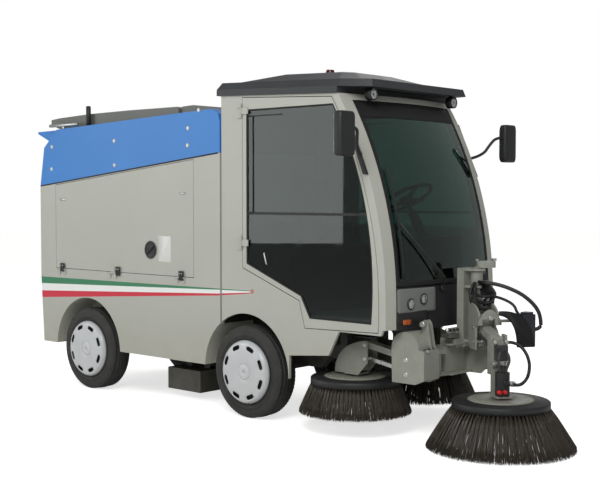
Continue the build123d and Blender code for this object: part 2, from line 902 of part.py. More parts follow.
# ---- front brush boom, built along +X then turned about its kingpin
boom_turn = Pos(boom_x, mast_y, 0) * Rot(0, 0, boom_angle)
front_pivot = (120, 700)
rear_pivot = (330, 640)
front_rod_drop = 90
with BuildPart() as boom:
    with Locations((0, 0, 828)):
        Cylinder(boom_pin_r, 484)
    with Locations((0, 0, 773)):
        Cylinder(boom_post_r, 320)
    with Locations((0, 0, 999)):
        Cylinder(boom_post_r, 76)
    for y in (-62, 62):
        with BuildSketch(side_plane(y + 6)):
            with BuildLine():
                Polyline((30, 560), (190, 560), (190, 700), close=False)
                ThreePointArc((190, 700), (150, 790), (60, 840))
                Line((60, 840), (30, 840))
                Line((30, 840), (30, 560))
            make_face()
        extrude(amount=12)
    with Locations((52, 0, 740)):
        Box(40, 124, 180)
    with Locations((170, 0, 999)):
        Box(290, 70, 70)
    for z in (front_pivot[1], front_pivot[1] - front_rod_drop):
        with Locations((front_pivot[0], 0, z)):
            Cylinder(pin_r, 124, rotation=(90, 0, 0))
save(boom_turn * boom.part, "boom")

front_arm = bar(Plane.XZ, front_pivot, rear_pivot, 26, 70, pin_r + pin_clear)
save(boom_turn * front_arm, "boom_arm")
front_rod = bar(
    Plane.XZ,
    (front_pivot[0], front_pivot[1] - front_rod_drop),
    (rear_pivot[0], rear_pivot[1] - front_rod_drop),
    16,
    26,
    pin_r + pin_clear,
)
save(boom_turn * front_rod, "boom_rod")

with BuildPart() as front_head:
    for y in (-45, 45):
        with Locations((345, y, 560)):
            Box(60, 14, 240)
    with Locations((375, 0, 475)):
        Box(14, 104, 335)
    with Locations((420, 0, 316)):
        Box(100, 104, 12)
    for z in (rear_pivot[1], rear_pivot[1] - front_rod_drop):
        with Locations((rear_pivot[0], 0, z)):
            Cylinder(pin_r, 100, rotation=(90, 0, 0))
    with Locations((front_reach + 22, 0, 390)):
        Cylinder(40, 140)
    with Locations((front_reach, 0, 340)):
        Cylinder(15, 140)
save(boom_turn * front_head.part, "boom_head")

save(boom_turn * brush(front_reach, 0, 0, front_tip_r, front_ring_r, front_ring_z), "front_brush")

# ---- suction mouth
with BuildPart() as mouth:
    with Locations((-900, 0, 130)):
        Box(360, 700, 150)
        Box(320, 660, 170, mode=Mode.SUBTRACT)
    with Locations((-900, 0, 210)):
        Box(360, 700, 14)
    with Locations((-900, 0, 275)):
        Cylinder(110, 140)
        Cylinder(100, 300, mode=Mode.SUBTRACT)
    for x in (-1000, -800):
        for side in (-1, 1):
            with Locations((x, side * rail_y, (210 + rail_bottom - seat_gap) / 2)):
                Box(60, 12, rail_bottom - seat_gap - 210)
save(mouth.part, "suction_mouth")
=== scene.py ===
import json
import math
import bmesh
import bpy
import numpy as np
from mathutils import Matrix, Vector


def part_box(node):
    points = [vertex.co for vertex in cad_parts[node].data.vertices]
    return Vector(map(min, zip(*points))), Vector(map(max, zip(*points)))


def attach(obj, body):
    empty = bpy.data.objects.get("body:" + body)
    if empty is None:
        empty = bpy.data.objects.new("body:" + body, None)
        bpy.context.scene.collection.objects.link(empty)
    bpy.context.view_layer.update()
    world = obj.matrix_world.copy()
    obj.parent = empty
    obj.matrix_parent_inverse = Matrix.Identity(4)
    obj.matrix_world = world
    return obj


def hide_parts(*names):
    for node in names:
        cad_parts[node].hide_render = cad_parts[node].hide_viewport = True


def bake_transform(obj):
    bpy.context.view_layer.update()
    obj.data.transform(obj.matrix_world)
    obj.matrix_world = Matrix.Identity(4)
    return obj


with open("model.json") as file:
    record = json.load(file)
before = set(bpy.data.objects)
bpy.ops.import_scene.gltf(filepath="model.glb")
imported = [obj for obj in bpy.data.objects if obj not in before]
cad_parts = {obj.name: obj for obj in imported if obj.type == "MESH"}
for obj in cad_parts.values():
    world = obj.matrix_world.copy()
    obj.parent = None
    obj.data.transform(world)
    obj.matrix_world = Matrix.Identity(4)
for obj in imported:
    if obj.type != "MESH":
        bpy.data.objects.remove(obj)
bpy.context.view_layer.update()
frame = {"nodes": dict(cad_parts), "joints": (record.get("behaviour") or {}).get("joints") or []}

nodes = frame["nodes"]
rng = np.random.default_rng(7)

# drawings measure X from the front axle, so its place in the frame comes first
jointAt = {joint["name"]: np.array(joint["pos_m"]) for joint in frame["joints"]}
axleX = float(jointAt["wheel_front_right_spin"][0])
bodyHalf = 0.6  # half the body's width
hands = (("right", -1), ("left", 1))
corners = (("front_right", -1), ("front_left", 1), ("rear_right", -1), ("rear_left", 1))
print("frame loaded, front axle at", round(axleX, 4))


def linear(hexColour, alpha=1.0):
    # sRGB hex to the linear values that shaders want
    parts = [int(hexColour[i:i + 2], 16) / 255 for i in (1, 3, 5)]
    return tuple(c / 12.92 if c < 0.04045 else ((c + 0.055) / 1.055) ** 2.4 for c in parts) + (alpha,)


def addNode(tree, kind, feeds=None, **settings):
    # one node with its settings; a socket is fed by a number, a hex colour or another node's output
    node = tree.nodes.new(kind)
    for key, value in settings.items():
        setattr(node, key, value)
    for key, value in (feeds or {}).items():
        if isinstance(value, bpy.types.NodeSocket):
            tree.links.new(value, node.inputs[key])
        else:
            node.inputs[key].default_value = linear(value) if isinstance(value, str) else value
    return node.outputs


def newMaterial(name, colour, roughness=0.5, metallic=0.0, **more):
    # a material's tree, its Principled shader, and the object coordinates that its patterns read
    made = bpy.data.materials.new(name)
    made.use_nodes = True
    shader = made.node_tree.nodes["Principled BSDF"]
    start = {"Base Color": linear(colour), "Roughness": roughness, "Metallic": metallic, **more}
    for key, value in start.items():
        shader.inputs[key].default_value = value
    place = addNode(made.node_tree, "ShaderNodeTexCoord")["Object"]
    return made, made.node_tree, shader.inputs, place


def perMetre(millimetres):
    # texture scale at which one cell of a pattern has this size
    return 1000.0 / millimetres


def noise(tree, place, millimetres, **settings):
    # soft noise whose cells have this size
    feeds = {"Vector": place, "Scale": perMetre(millimetres), **settings}
    return addNode(tree, "ShaderNodeTexNoise", feeds)[0]


def reckoned(tree, operation, *values, **settings):
    # arithmetic on numbers or outputs
    return addNode(tree, "ShaderNodeMath", dict(enumerate(values)), operation=operation, **settings)[0]


def blended(tree, share, first, second):
    # the first colour, and as much of the second as the share says
    return addNode(tree, "ShaderNodeMix", {0: share, 6: first, 7: second}, data_type="RGBA")[2]


def spanned(tree, value, **ends):
    # the value taken from one span to another
    return addNode(tree, "ShaderNodeMapRange", {"Value": value, **ends})["Result"]


def embossed(tree, shader, height, strength, distance):
    # relief on the surface, its height in metres
    bump = addNode(tree, "ShaderNodeBump", {"Height": height, "Strength": strength, "Distance": distance})[0]
    tree.links.new(bump, shader["Normal"])


def meshPiece(name, points, faces, material, body, smooth=True, merge=0.0):
    # points as (n, 3) and faces as one array or a list of arrays; normals are turned outwards
    groups = faces if isinstance(faces, list) else [faces]
    mesh = bpy.data.meshes.new(name)
    mesh.from_pydata(np.asarray(points, float).reshape(-1, 3).tolist(), [],
                     [f for group in groups for f in np.asarray(group).tolist()])
    work = bmesh.new()
    work.from_mesh(mesh)
    if merge:
        bmesh.ops.remove_doubles(work, verts=work.verts, dist=merge)
    bmesh.ops.recalc_face_normals(work, faces=work.faces)
    work.to_mesh(mesh)
    work.free()
    mesh.polygons.foreach_set("use_smooth", np.full(len(mesh.polygons), smooth))
    mesh.materials.append(material)
    piece = bpy.data.objects.new(name, mesh)
    bpy.context.scene.collection.objects.link(piece)
    if body:
        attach(piece, body)
    return piece


def gridFaces(rows, columns, wrapRows=False, wrapColumns=False):
    # quads of a grid whose points run row by row
    r = np.arange(rows if wrapRows else rows - 1)[:, None]
    c = np.arange(columns if wrapColumns else columns - 1)[None, :]
    r2, c2 = (r + 1) % rows, (c + 1) % columns
    quads = [r * columns + c, r * columns + c2, r2 * columns + c2, r2 * columns + c]
    return np.stack(quads, -1).reshape(-1, 4)


def copyFaces(count, size, faces):
    # the same faces for each of count copies that have size points each
    return (faces[None] + (np.arange(count) * size)[:, None, None]).reshape(-1, faces.shape[-1])


def fanFaces(first, sides):
    # a lid of triangles over a ring of points
    return np.array([[first, first + i, first + i + 1] for i in range(1, sides - 1)])


def circle(radius, sides=10):
    # section of a round bar
    turn = np.arange(sides) / sides * 2 * math.pi
    return radius * np.stack([np.cos(turn), np.sin(turn)], -1)


def roundRect(halfA, halfB, corner, perCorner=4):
    # rounded rectangle: each corner is a quarter circle about a point set in by the corner's radius
    turn = np.concatenate([np.linspace(q, q + 1, perCorner) * math.pi / 2 for q in range(4)])
    signA = np.repeat([1, -1, -1, 1], perCorner)
    signB = np.repeat([1, 1, -1, -1], perCorner)
    a = signA * (halfA - corner) + corner * np.cos(turn)
    b = signB * (halfB - corner) + corner * np.sin(turn)
    return np.stack([a, b], -1)


def sweep(paths, section, closed=False, lean=None, sizes=None):
    # the section carried along each path, its first axis level and across, its second upright;
    # lean names another upright, and sizes scales the section point by point along the path
    paths = np.asarray(paths, float)
    paths = paths[None] if paths.ndim == 2 else paths
    copies, steps = paths.shape[:2]
    ahead = np.roll(paths, -1, 1) - np.roll(paths, 1, 1) if closed else np.gradient(paths, axis=1)
    ahead /= np.linalg.norm(ahead, axis=-1, keepdims=True) + 1e-12
    if lean is None:
        steep = np.abs(ahead[:, :1, 2:3]) > 0.9
        lean = np.where(steep, [[[1.0, 0, 0]]], [[[0, 0, 1.0]]])
    across = np.cross(ahead, np.broadcast_to(lean, ahead.shape))
    across /= np.linalg.norm(across, axis=-1, keepdims=True) + 1e-12
    over = np.cross(across, ahead)
    grow = np.ones(steps) if sizes is None else np.asarray(sizes, float)
    section = np.asarray(section)[None, None] * grow[None, :, None, None]
    points = paths[:, :, None] + across[:, :, None] * section[..., :1] + over[:, :, None] * section[..., 1:]
    sides = section.shape[2]
    skin = copyFaces(copies, steps * sides, gridFaces(steps, sides, wrapRows=closed, wrapColumns=True))
    if closed:
        return points.reshape(-1, 3), [skin]
    lids = [copyFaces(copies, steps * sides, fanFaces(first, sides)) for first in (0, (steps - 1) * sides)]
    return points.reshape(-1, 3), [skin] + lids


def turned(profile, steps, centre, axis=(0, 0, 1)):
    # closed profile of (radius, along) pairs turned about an axis through the centre
    profile = np.asarray(profile, float)
    axis = np.asarray(axis, float) / np.linalg.norm(axis)
    first = np.cross(axis, [0.0, 0.0, 1.0] if abs(axis[2]) < 0.9 else [1.0, 0.0, 0.0])
    first /= np.linalg.norm(first)
    second = np.cross(axis, first)
    turn = np.arange(steps)[None, :, None] / steps * 2 * math.pi
    ring = first * np.cos(turn) + second * np.sin(turn)
    points = profile[:, :1, None] * ring + profile[:, 1:, None] * axis + np.asarray(centre)
    return points.reshape(-1, 3), gridFaces(len(profile), steps, wrapRows=True, wrapColumns=True)


def platePoints(outline, centre, axisA, axisB, thick, edge):
    # a plate on its outline: back ring, side ring, and a front ring that is set in by the edge
    axisA, axisB = np.asarray(axisA, float), np.asarray(axisB, float)
    out = np.cross(axisA, axisB)
    rings = []
    for shrink, height in ((1.0, 0.0), (1.0, thick - edge), (1.0 - edge / np.abs(outline).max(), thick)):
        rings.append((outline[:, :1] * axisA + outline[:, 1:] * axisB) * shrink + out * height)
    points = np.concatenate(rings) + np.asarray(centre)
    sides = len(outline)
    return points, [gridFaces(3, sides, wrapColumns=True), fanFaces(0, sides), fanFaces(2 * sides, sides)]


def boltHeads(name, centres, outward, radius, height, material, body, slot, sides=6):
    # low domed heads: four rings of a few sides, the last one small
    centres = np.asarray(centres, float).reshape(-1, 3)
    out = np.asarray(outward, float) / np.linalg.norm(outward)
    across = np.cross(out, [0.3, 0.2, 1.0])
    across /= np.linalg.norm(across)
    over = np.cross(out, across)
    ring = circle(1.0, sides) @ np.stack([across, over])
    rings = [ring * radius * k + out * height * h for k, h in ((1, -0.5), (1, 0.7), (0.75, 1.0), (0.1, 1.0))]
    points = centres[:, None] + np.concatenate(rings)[None]
    caps = [copyFaces(len(centres), 4 * sides, fanFaces(first, sides)) for first in (0, 3 * sides)]
    faces = [copyFaces(len(centres), 4 * sides, gridFaces(4, sides, wrapColumns=True))] + caps
    return meshPiece(name, points, faces, material, body, smooth=False)


def at(x, y, z):
    # a point of the drawing, X from the front axle, as a point of the frame
    return np.array([x + axleX, y, z])


def boxMiddle(nodeName):
    # middle of a node's box
    low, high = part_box(nodeName)
    return (np.array(low) + np.array(high)) / 2


def faceRim(nodeName, outward):
    # outline of a node's outermost flat face, seen along Y: the edges that only one of the face's
    # triangles has, walked in order
    mesh = nodes[nodeName].data
    points = np.empty(len(mesh.vertices) * 3)
    mesh.vertices.foreach_get("co", points)
    points = np.round(points.reshape(-1, 3), 5)
    edgeY = (points[:, 1] * outward).max()
    count = {}
    for polygon in mesh.polygons:
        corners = [tuple(points[v]) for v in polygon.vertices]
        if all(abs(c[1] * outward - edgeY) < 1e-4 for c in corners):
            for a, b in zip(corners, corners[1:] + corners[:1]):
                count[frozenset((a, b))] = count.get(frozenset((a, b)), 0) + 1
    near = {}
    for edge in (e for e, times in count.items() if times == 1 and len(e) == 2):
        a, b = edge
        near.setdefault(a, []).append(b)
        near.setdefault(b, []).append(a)
    walk = [min(near)]
    while True:
        onward = [p for p in near[walk[-1]] if p not in walk[-2:]]
        if not onward or onward[0] == walk[0]:
            break
        walk.append(onward[0])
    return np.array(walk)


def evenSteps(path, step, closed=True):
    # the same path with points about one step apart
    path = np.concatenate([path, path[:1]]) if closed else np.asarray(path, float)
    run = np.concatenate([[0], np.cumsum(np.linalg.norm(np.diff(path, axis=0), axis=1))])
    where = np.linspace(0, run[-1], max(int(run[-1] / step), 4) + 1)
    where = where[:-1] if closed else where
    return np.stack([np.interp(where, run, path[:, k]) for k in range(3)], -1)


def joined(forms):
    # several forms as the points and faces of one
    start, points, faces = 0, [], []
    for form, groups in forms:
        points.append(np.asarray(form).reshape(-1, 3))
        faces += [np.asarray(group) + start for group in (groups if isinstance(groups, list) else [groups])]
        start += len(points[-1])
    return np.concatenate(points), faces


def formPiece(name, forms, material, body, smooth=True):
    # one piece of several forms
    points, faces = joined(forms)
    return meshPiece(name, points, faces, material, body, smooth=smooth)


def can(radius, low, high, centre, axis=(0, 0, 1), ease=0.002, steps=40):
    # a closed cylinder with eased ends
    form = [(0.0005, low), (radius - ease, low), (radius, low + ease),
            (radius, high - ease), (radius - ease, high), (0.0005, high)]
    return turned(form, steps, centre, axis)


def slab(corners, thick, edge=0.0012):
    # a plate whose corners lie in its middle plane, one edge eased
    corners = np.asarray(corners, float)
    middle = corners.mean(0)
    out = np.cross(corners - middle, np.roll(corners - middle, -1, 0)).sum(0)
    out /= np.linalg.norm(out)
    inner = middle + (corners - middle) * (1 - edge / np.abs(corners - middle).max())
    rings = [corners - out * thick / 2, corners + out * (thick / 2 - edge), inner + out * thick / 2]
    lid = np.arange(len(corners))[None]
    return np.concatenate(rings), [gridFaces(3, len(corners), wrapColumns=True), lid, lid + 2 * len(corners)]


def block(start, end, halfA, halfB, corner=0.002, lean=None):
    # a rounded bar from the middle of one end to the middle of the other
    return sweep(np.array([start, end]), roundRect(halfA, halfB, corner), lean=lean)


def bow(a, b, c, steps=12):
    # from a to c by way of b: (1 - t)^2 a + 2 t (1 - t) (2 b - (a + c) / 2) + t^2 c
    a, b, c = (np.asarray(p, float) for p in (a, b, c))
    t = np.linspace(0, 1, steps)[:, None]
    return (1 - t) ** 2 * a + 2 * t * (1 - t) * (2 * b - (a + c) / 2) + t**2 * c


def hose(ends, radius, sides, lean):
    # a round tube along a NURBS curve that is held at both ends
    route = bpy.data.curves.new("hose_route", "CURVE")
    route.dimensions = "3D"
    spline = route.splines.new("NURBS")
    spline.points.add(len(ends) - 1)
    spline.points.foreach_set("co", np.c_[ends, np.ones(len(ends))].ravel())
    spline.order_u = 3
    spline.use_endpoint_u = True
    spline.resolution_u = 8
    holder = bpy.data.objects.new("hose_route", route)
    bpy.context.scene.collection.objects.link(holder)
    line = bpy.data.meshes.new_from_object(holder)
    path = np.empty(len(line.vertices) * 3)
    line.vertices.foreach_get("co", path)
    bpy.data.objects.remove(holder)
    return sweep(path.reshape(-1, 3), circle(radius, sides), lean=[[lean]])


# camera, light and floor
studio = {
    "cameraAt": (5.2995, -5.9096, 1.5214), "turn": 42.104, "dip": 2.6425, "lens": 66.47,
    "floorColour": "#f5f5f3", "floorGlow": 0.68, "floorHalf": 40, "worldLight": 0.34,
    # each lamp: place, target, size and power
    "lamps": {
        "key": ((3.6, -5.2, 5.4), (-0.4, 0, 0.9), 3.0, 285),
        "fill": ((-4.6, -4.4, 2.6), (-0.8, 0, 0.9), 3.5, 85),
        "rim": ((-2.0, 5.0, 4.6), (0, 0, 1.0), 3.0, 70),
    },
}
camera = bpy.data.objects.new("camera", bpy.data.cameras.new("camera"))
camera.location = at(*studio["cameraAt"])
camera.rotation_euler = (math.radians(90 - studio["dip"]), 0, math.radians(studio["turn"]))
camera.data.lens = studio["lens"]
camera.data.sensor_width = 36
bpy.context.scene.collection.objects.link(camera)
bpy.context.scene.camera = camera
for name, (place, target, size, power) in studio["lamps"].items():
    lamp = bpy.data.objects.new(name, bpy.data.lights.new(name, "AREA"))
    lamp.data.size = size
    lamp.data.energy = power
    lamp.location = at(*place)
    lamp.rotation_euler = (Vector(at(*target)) - lamp.location).to_track_quat("-Z", "Y").to_euler()
    bpy.context.scene.collection.objects.link(lamp)
bpy.context.scene.view_settings.view_transform = "Standard"
world = bpy.data.worlds.new("studio")
world.use_nodes = True
bpy.context.scene.world = world
ray = addNode(world.node_tree, "ShaderNodeLightPath")
seen = reckoned(world.node_tree, "MAXIMUM", ray["Is Camera Ray"], ray["Is Transmission Ray"])
level = spanned(world.node_tree, seen, **{"To Min": studio["worldLight"], "To Max": 1.0})
backdrop = world.node_tree.nodes["Background"].inputs
backdrop["Color"].default_value = (1, 1, 1, 1)
world.node_tree.links.new(level, backdrop["Strength"])

# matt floor paint that reads nearly white; the camera's own ray sees it brighter, shadows stay
floorMaterial, tree, shader, place = newMaterial("matt studio floor paint", studio["floorColour"], 0.85)
paint = blended(tree, noise(tree, place, 300, Detail=3.0), "#f3f3f1", "#f8f8f6")
tree.links.new(paint, shader["Base Color"])
floorRay = addNode(tree, "ShaderNodeLightPath")["Is Camera Ray"]
lift = reckoned(tree, "MULTIPLY", floorRay, studio["floorGlow"])
tree.links.new(lift, shader["Emission Strength"])
shader["Emission Color"].default_value = (1, 1, 1, 1)
floorMesh = bpy.data.meshes.new("floor")
far = studio["floorHalf"]
floorCorners = [(x, y, -0.001) for x, y in ((-far, -far), (far, -far), (far, far), (-far, far))]
floorMesh.from_pydata(floorCorners, [], [(0, 1, 2, 3)])
floorMesh.materials.append(floorMaterial)
floor = bpy.data.objects.new("floor", floorMesh)
bpy.context.scene.collection.objects.link(floor)
print("studio ready")


def withDust(tree, place, clean, dusty="#8f8b7a", most=0.5):
    # road dust: a tone that grows towards the ground, broken up by soft patches of about 110 mm
    height = addNode(tree, "ShaderNodeSeparateXYZ", {"Vector": place})["Z"]
    patches = noise(tree, place, 110, Detail=5.0)
    low = spanned(tree, height, **{"From Min": 0.75, "From Max": 0.35, "To Max": most})
    return blended(tree, reckoned(tree, "MULTIPLY", low, patches, use_clamp=True), clean, dusty)


stripe = {
    # colour, then the lower edge: height at the rear end, slope as far as the kink, slope past it
    "top": (0.858, 0.0083, 0.008),
    "bands": (("#2f7a55", (0.803, 0.0305, 0.022)), ("#e6e8e5", (0.743, 0.0466, 0.079)),
              ("#c8203a", (0.687, 0.0667, 0.102))),
    "rear": -2.36, "kink": -0.277, "tip": 0.045,
}


def stripedPaint():
    # powder coat on steel sheet: satin, a faint peel of 3 mm; on the sides three bands that run
    # together towards the front, each between two straight edges in X and Z
    made, tree, shader, place = newMaterial("khaki powder coat", "#adaea5", 0.46)
    colour = blended(tree, noise(tree, place, 450, Detail=4.0), "#a8a9a0", "#b1b2a9")
    split = addNode(tree, "ShaderNodeSeparateXYZ", {"Vector": place})
    x = reckoned(tree, "SUBTRACT", split["X"], axleX)
    side = reckoned(tree, "GREATER_THAN", reckoned(tree, "ABSOLUTE", split["Y"]), bodyHalf - 0.001)
    onSide = reckoned(tree, "MULTIPLY", side, reckoned(tree, "LESS_THAN", x, stripe["tip"]))
    past = reckoned(tree, "MAXIMUM", reckoned(tree, "SUBTRACT", x, stripe["kink"]), 0.0)
    edges = []
    for start, slope, lateSlope in [stripe["top"]] + [band[1] for band in stripe["bands"]]:
        rear = reckoned(tree, "MULTIPLY_ADD", x, slope, start - stripe["rear"] * slope)
        edges.append(reckoned(tree, "MULTIPLY_ADD", past, lateSlope - slope, rear))
    for upper, lower, band in zip(edges, edges[1:], stripe["bands"]):
        under = reckoned(tree, "LESS_THAN", split["Z"], upper)
        over = reckoned(tree, "GREATER_THAN", split["Z"], lower)
        here = reckoned(tree, "MULTIPLY", reckoned(tree, "MULTIPLY", under, over), onSide)
        colour = blended(tree, here, colour, band[0])
    tree.links.new(withDust(tree, place, colour), shader["Base Color"])
    embossed(tree, shader, noise(tree, place, 3, Detail=2.0), 0.25, 0.0002)
    return made


def stovedPaint(name, first, second, roughness=0.45, coat=0.0, dust="#8f8b7a"):
    # stoved enamel on steel: two near tones in soft patches of 400 mm, a peel of 3 mm, dust low down
    lacquer = {"Coat Weight": coat, "Coat Roughness": 0.25}
    made, tree, shader, place = newMaterial(name, first, roughness, **lacquer)
    colour = blended(tree, noise(tree, place, 400, Detail=4.0), first, second)
    tree.links.new(withDust(tree, place, colour, dust), shader["Base Color"])
    embossed(tree, shader, noise(tree, place, 3, Detail=2.0), 0.25, 0.0002)
    return made


def machinePaint():
    # hand-sprayed machine enamel on welded steel: satin, rubbed thin to dark metal in specks of 12 mm,
    # mottled lighter and darker in patches of about 60 mm
    made, tree, shader, place = newMaterial("grey-green machine enamel", "#8f9187", 0.48)
    mottle = noise(tree, place, 60, Detail=6.0)
    specks = noise(tree, place, 12, Detail=8.0)
    rubbed = spanned(tree, specks, **{"From Min": 0.66, "From Max": 0.74, "To Max": 0.8})
    worn = blended(tree, rubbed, blended(tree, mottle, "#82847b", "#9b9d93"), "#4b4a44")
    tree.links.new(withDust(tree, place, worn, "#77705f", 0.35), shader["Base Color"])
    tree.links.new(spanned(tree, mottle, **{"To Min": 0.4, "To Max": 0.6}), shader["Roughness"])
    embossed(tree, shader, specks, 0.2, 0.0003)
    return made


def mouldedPlastic(name, first, second, roughness=0.6, grainMm=1.5, depth=0.0002):
    # injection-moulded plastic: fine leathery grain, slightly chalky where it has weathered
    made, tree, shader, place = newMaterial(name, first, roughness)
    patches = noise(tree, place, 170, Detail=6.0)
    tree.links.new(blended(tree, patches, first, second), shader["Base Color"])
    cells = addNode(tree, "ShaderNodeTexVoronoi", {"Vector": place, "Scale": perMetre(grainMm)})["Distance"]
    embossed(tree, shader, cells, 0.5, depth)
    chalk = spanned(tree, patches, **{"To Min": roughness - 0.1, "To Max": roughness + 0.12})
    tree.links.new(chalk, shader["Roughness"])
    return made


def brushedMetal(name, first, second, roughness=0.35, streakMm=16.0):
    # plated or machined steel: fine streaks along one way, dull where it has been handled
    made, tree, shader, place = newMaterial(name, first, roughness, 1.0)
    along = addNode(tree, "ShaderNodeMapping", {"Vector": place, "Scale": (1.0, 6.0, 1.0)})[0]
    streaks = noise(tree, along, streakMm, Detail=6.0)
    tree.links.new(blended(tree, streaks, first, second), shader["Base Color"])
    dull = spanned(tree, streaks, **{"To Min": roughness - 0.1, "To Max": roughness + 0.2})
    tree.links.new(dull, shader["Roughness"])
    return made


def tintedGlass(name, tint, roughness=0.0):
    # laminated safety glass: a green body tint, with a film of dust that blurs it here and there
    made, tree, shader, place = newMaterial(name, tint, roughness, **{"Transmission Weight": 1.0, "IOR": 1.5})
    film = noise(tree, place, 140, Detail=8.0)
    haze = spanned(tree, film, **{"From Min": 0.45, "From Max": 0.9, "To Max": 0.08})
    tree.links.new(haze, shader["Roughness"])
    return made


def lensOverReflector(name, clear, belowZ, lower):
    # polycarbonate lens in front of a vacuum-metallised reflector: bright facets of 9 mm under a gloss
    # coat; lenses below one height are amber acrylic
    gloss = {"Coat Weight": 1.0, "Coat Roughness": 0.03}
    made, tree, shader, place = newMaterial(name, clear, 0.18, 0.75, **gloss)
    facets = addNode(tree, "ShaderNodeTexVoronoi", {"Vector": place, "Scale": perMetre(9)})["Distance"]
    glint = blended(tree, facets, clear, "#8d9194")
    height = addNode(tree, "ShaderNodeSeparateXYZ", {"Vector": place})["Z"]
    colour = blended(tree, reckoned(tree, "LESS_THAN", height, belowZ), glint, lower)
    tree.links.new(colour, shader["Base Color"])
    embossed(tree, shader, facets, 0.6, 0.003)
    return made


def vulcanisedRubber():
    # tyre rubber: nearly black, matt, its flanks greyed by road dust in patches of 70 mm
    made, tree, shader, place = newMaterial("vulcanised tyre rubber", "#26262a", 0.72)
    dust = noise(tree, place, 70, Detail=6.0)
    tree.links.new(blended(tree, dust, "#1a1a1c", "#3a3936"), shader["Base Color"])
    embossed(tree, shader, noise(tree, place, 2.4), 0.4, 0.0004)
    return made


def bristleStrand():
    # extruded polypropylene: dark, waxy, clumps of 11 mm; among the near-black strands a lighter tone stands
    # in as painted highlight
    made, tree, shader, place = newMaterial("extruded polypropylene bristle", "#2a2724", 0.36)
    strands = noise(tree, place, 11, Detail=3.0)
    # near-black bristle colour mixed with a lighter tone that is painted highlight on the strands
    tree.links.new(blended(tree, strands, "#141312", "#585044"), shader["Base Color"])
    return made


def hydraulicHose():
    # rubber hose in a spiral-cut abrasion sleeve: ridges of 9 mm, drawn coarse enough to show
    made, tree, shader, place = newMaterial("sleeved hydraulic hose rubber", "#1b1b1c", 0.5)
    feeds = {"Vector": place, "Scale": perMetre(9) / 20, "Distortion": 1.5}
    ridges = addNode(tree, "ShaderNodeTexWave", feeds, bands_direction="DIAGONAL")[1]
    tree.links.new(blended(tree, ridges, "#151516", "#2b2b2c"), shader["Base Color"])
    embossed(tree, shader, ridges, 0.7, 0.001)
    return made


def wovenCloth(name, first, second):
    # polyester seat cloth: a plain weave of 3 mm, soft sheen
    made, tree, shader, place = newMaterial(name, first, 0.9, **{"Sheen Weight": 0.3})
    feeds = {"Vector": place, "Scale": perMetre(3) / 3.2, "Distortion": 1.0}
    weave = addNode(tree, "ShaderNodeTexWave", feeds)[1]
    tree.links.new(blended(tree, weave, first, second), shader["Base Color"])
    embossed(tree, shader, weave, 0.5, 0.0006)
    return made


khaki = stripedPaint()
blue = stovedPaint("blue stoved enamel", "#2273bd", "#2c7cc8", 0.42)
enamel = machinePaint()
chassisBlack = stovedPaint("black chassis paint", "#1b1c1d", "#242526", 0.5)
lidGrey = stovedPaint("light grey powder coat", "#5a5d56", "#686b63", 0.45)
valveBlack = stovedPaint("blue-black stoved enamel", "#15191f", "#1d222a", 0.35)
castIron = stovedPaint("cast iron, painted black", "#26282a", "#303234", 0.6)
wheelSilver = stovedPaint("silver lacquer on moulded trim", "#c0c3c8", "#cdd0d4", 0.32, 0.3, dust="#a8a69c")
roofPlastic = mouldedPlastic("vacuum-formed ABS roof", "#2c2e31", "#383a3d", 0.55, 2.4)
blackPlastic = mouldedPlastic("moulded black polypropylene", "#171818", "#222324", 0.5)
greyPlastic = mouldedPlastic("moulded grey ABS", "#6a6d69", "#787a76", 0.45)
sealRubber = mouldedPlastic("EPDM seal rubber", "#0f0f10", "#191919", 0.7)
whiteVinyl = mouldedPlastic("white vinyl sheet", "#d2d2ce", "#dededa", 0.4, 3.3, 0.0001)
redPlastic = mouldedPlastic("red moulded polythene", "#c2191f", "#d3232a", 0.35)
zinc = brushedMetal("zinc-plated steel", "#b8b9b6", "#d6d7d3")
darkSteel = brushedMetal("oiled dark steel", "#4a4a48", "#66655f", 0.45)
plateGrey = stovedPaint("sprayed brush plate, dusty", "#7e8078", "#8b8d84", 0.5)
wornSteel = brushedMetal("worn sheet steel", "#7d7c78", "#94938d", 0.5, 50.0)
mirrorGlass = brushedMetal("silvered mirror glass", "#d6dadc", "#dfe2e4", 0.12, 330.0)
cabGlass = tintedGlass("laminated green-tinted glass", "#486a62")
redLens = tintedGlass("red acrylic lens, moulded", "#b0161c", 0.05)
headLens = lensOverReflector("polycarbonate lens on bright reflector", "#dfe3e5", 0.775, "#d8641a")
tyreRubber = vulcanisedRubber()
bristle = bristleStrand()
hoseRubber = hydraulicHose()
seatCloth = wovenCloth("woven seat cloth", "#3b3f3d", "#4a4f4c")

wears = {
    khaki: ["body_shell", "cab_shell", "rear_door", "door_right", "door_left", "flap_right", "flap_left"],
    blue: ["top_cover"],
    enamel: ["front_frame", "swing_bracket_right", "swing_bracket_left", "arm_right", "arm_left",
             "boom", "boom_arm", "brush_head_right", "brush_head_left", "boom_head"],
    chassisBlack: ["chassis", "axles", "knuckle_right", "knuckle_left", "suction_mouth"],
    roofPlastic: ["roof"],
    blackPlastic: ["front_panel", "mirrors", "dashboard", "seat_base", "steering_wheel"],
    zinc: ["arm_rod_right", "arm_rod_left", "boom_rod"],
    wornSteel: ["hopper"],
    castIron: ["engine", "rim_front_right", "rim_front_left", "rim_rear_right", "rim_rear_left"],
    cabGlass: ["windscreen", "door_glass_right", "door_glass_left"],
    headLens: ["lamps"],
    redLens: ["beacon"],
    tyreRubber: ["tyre_front_right", "tyre_front_left", "tyre_rear_right", "tyre_rear_left"],
    bristle: ["side_brush_right", "side_brush_left", "front_brush"],
    seatCloth: ["seat_pads"],
}
for material, worn in wears.items():
    for name in worn:
        nodes[name].data.materials.clear()
        nodes[name].data.materials.append(material)
print("materials set on", sum(len(worn) for worn in wears.values()), "of", len(nodes), "nodes")


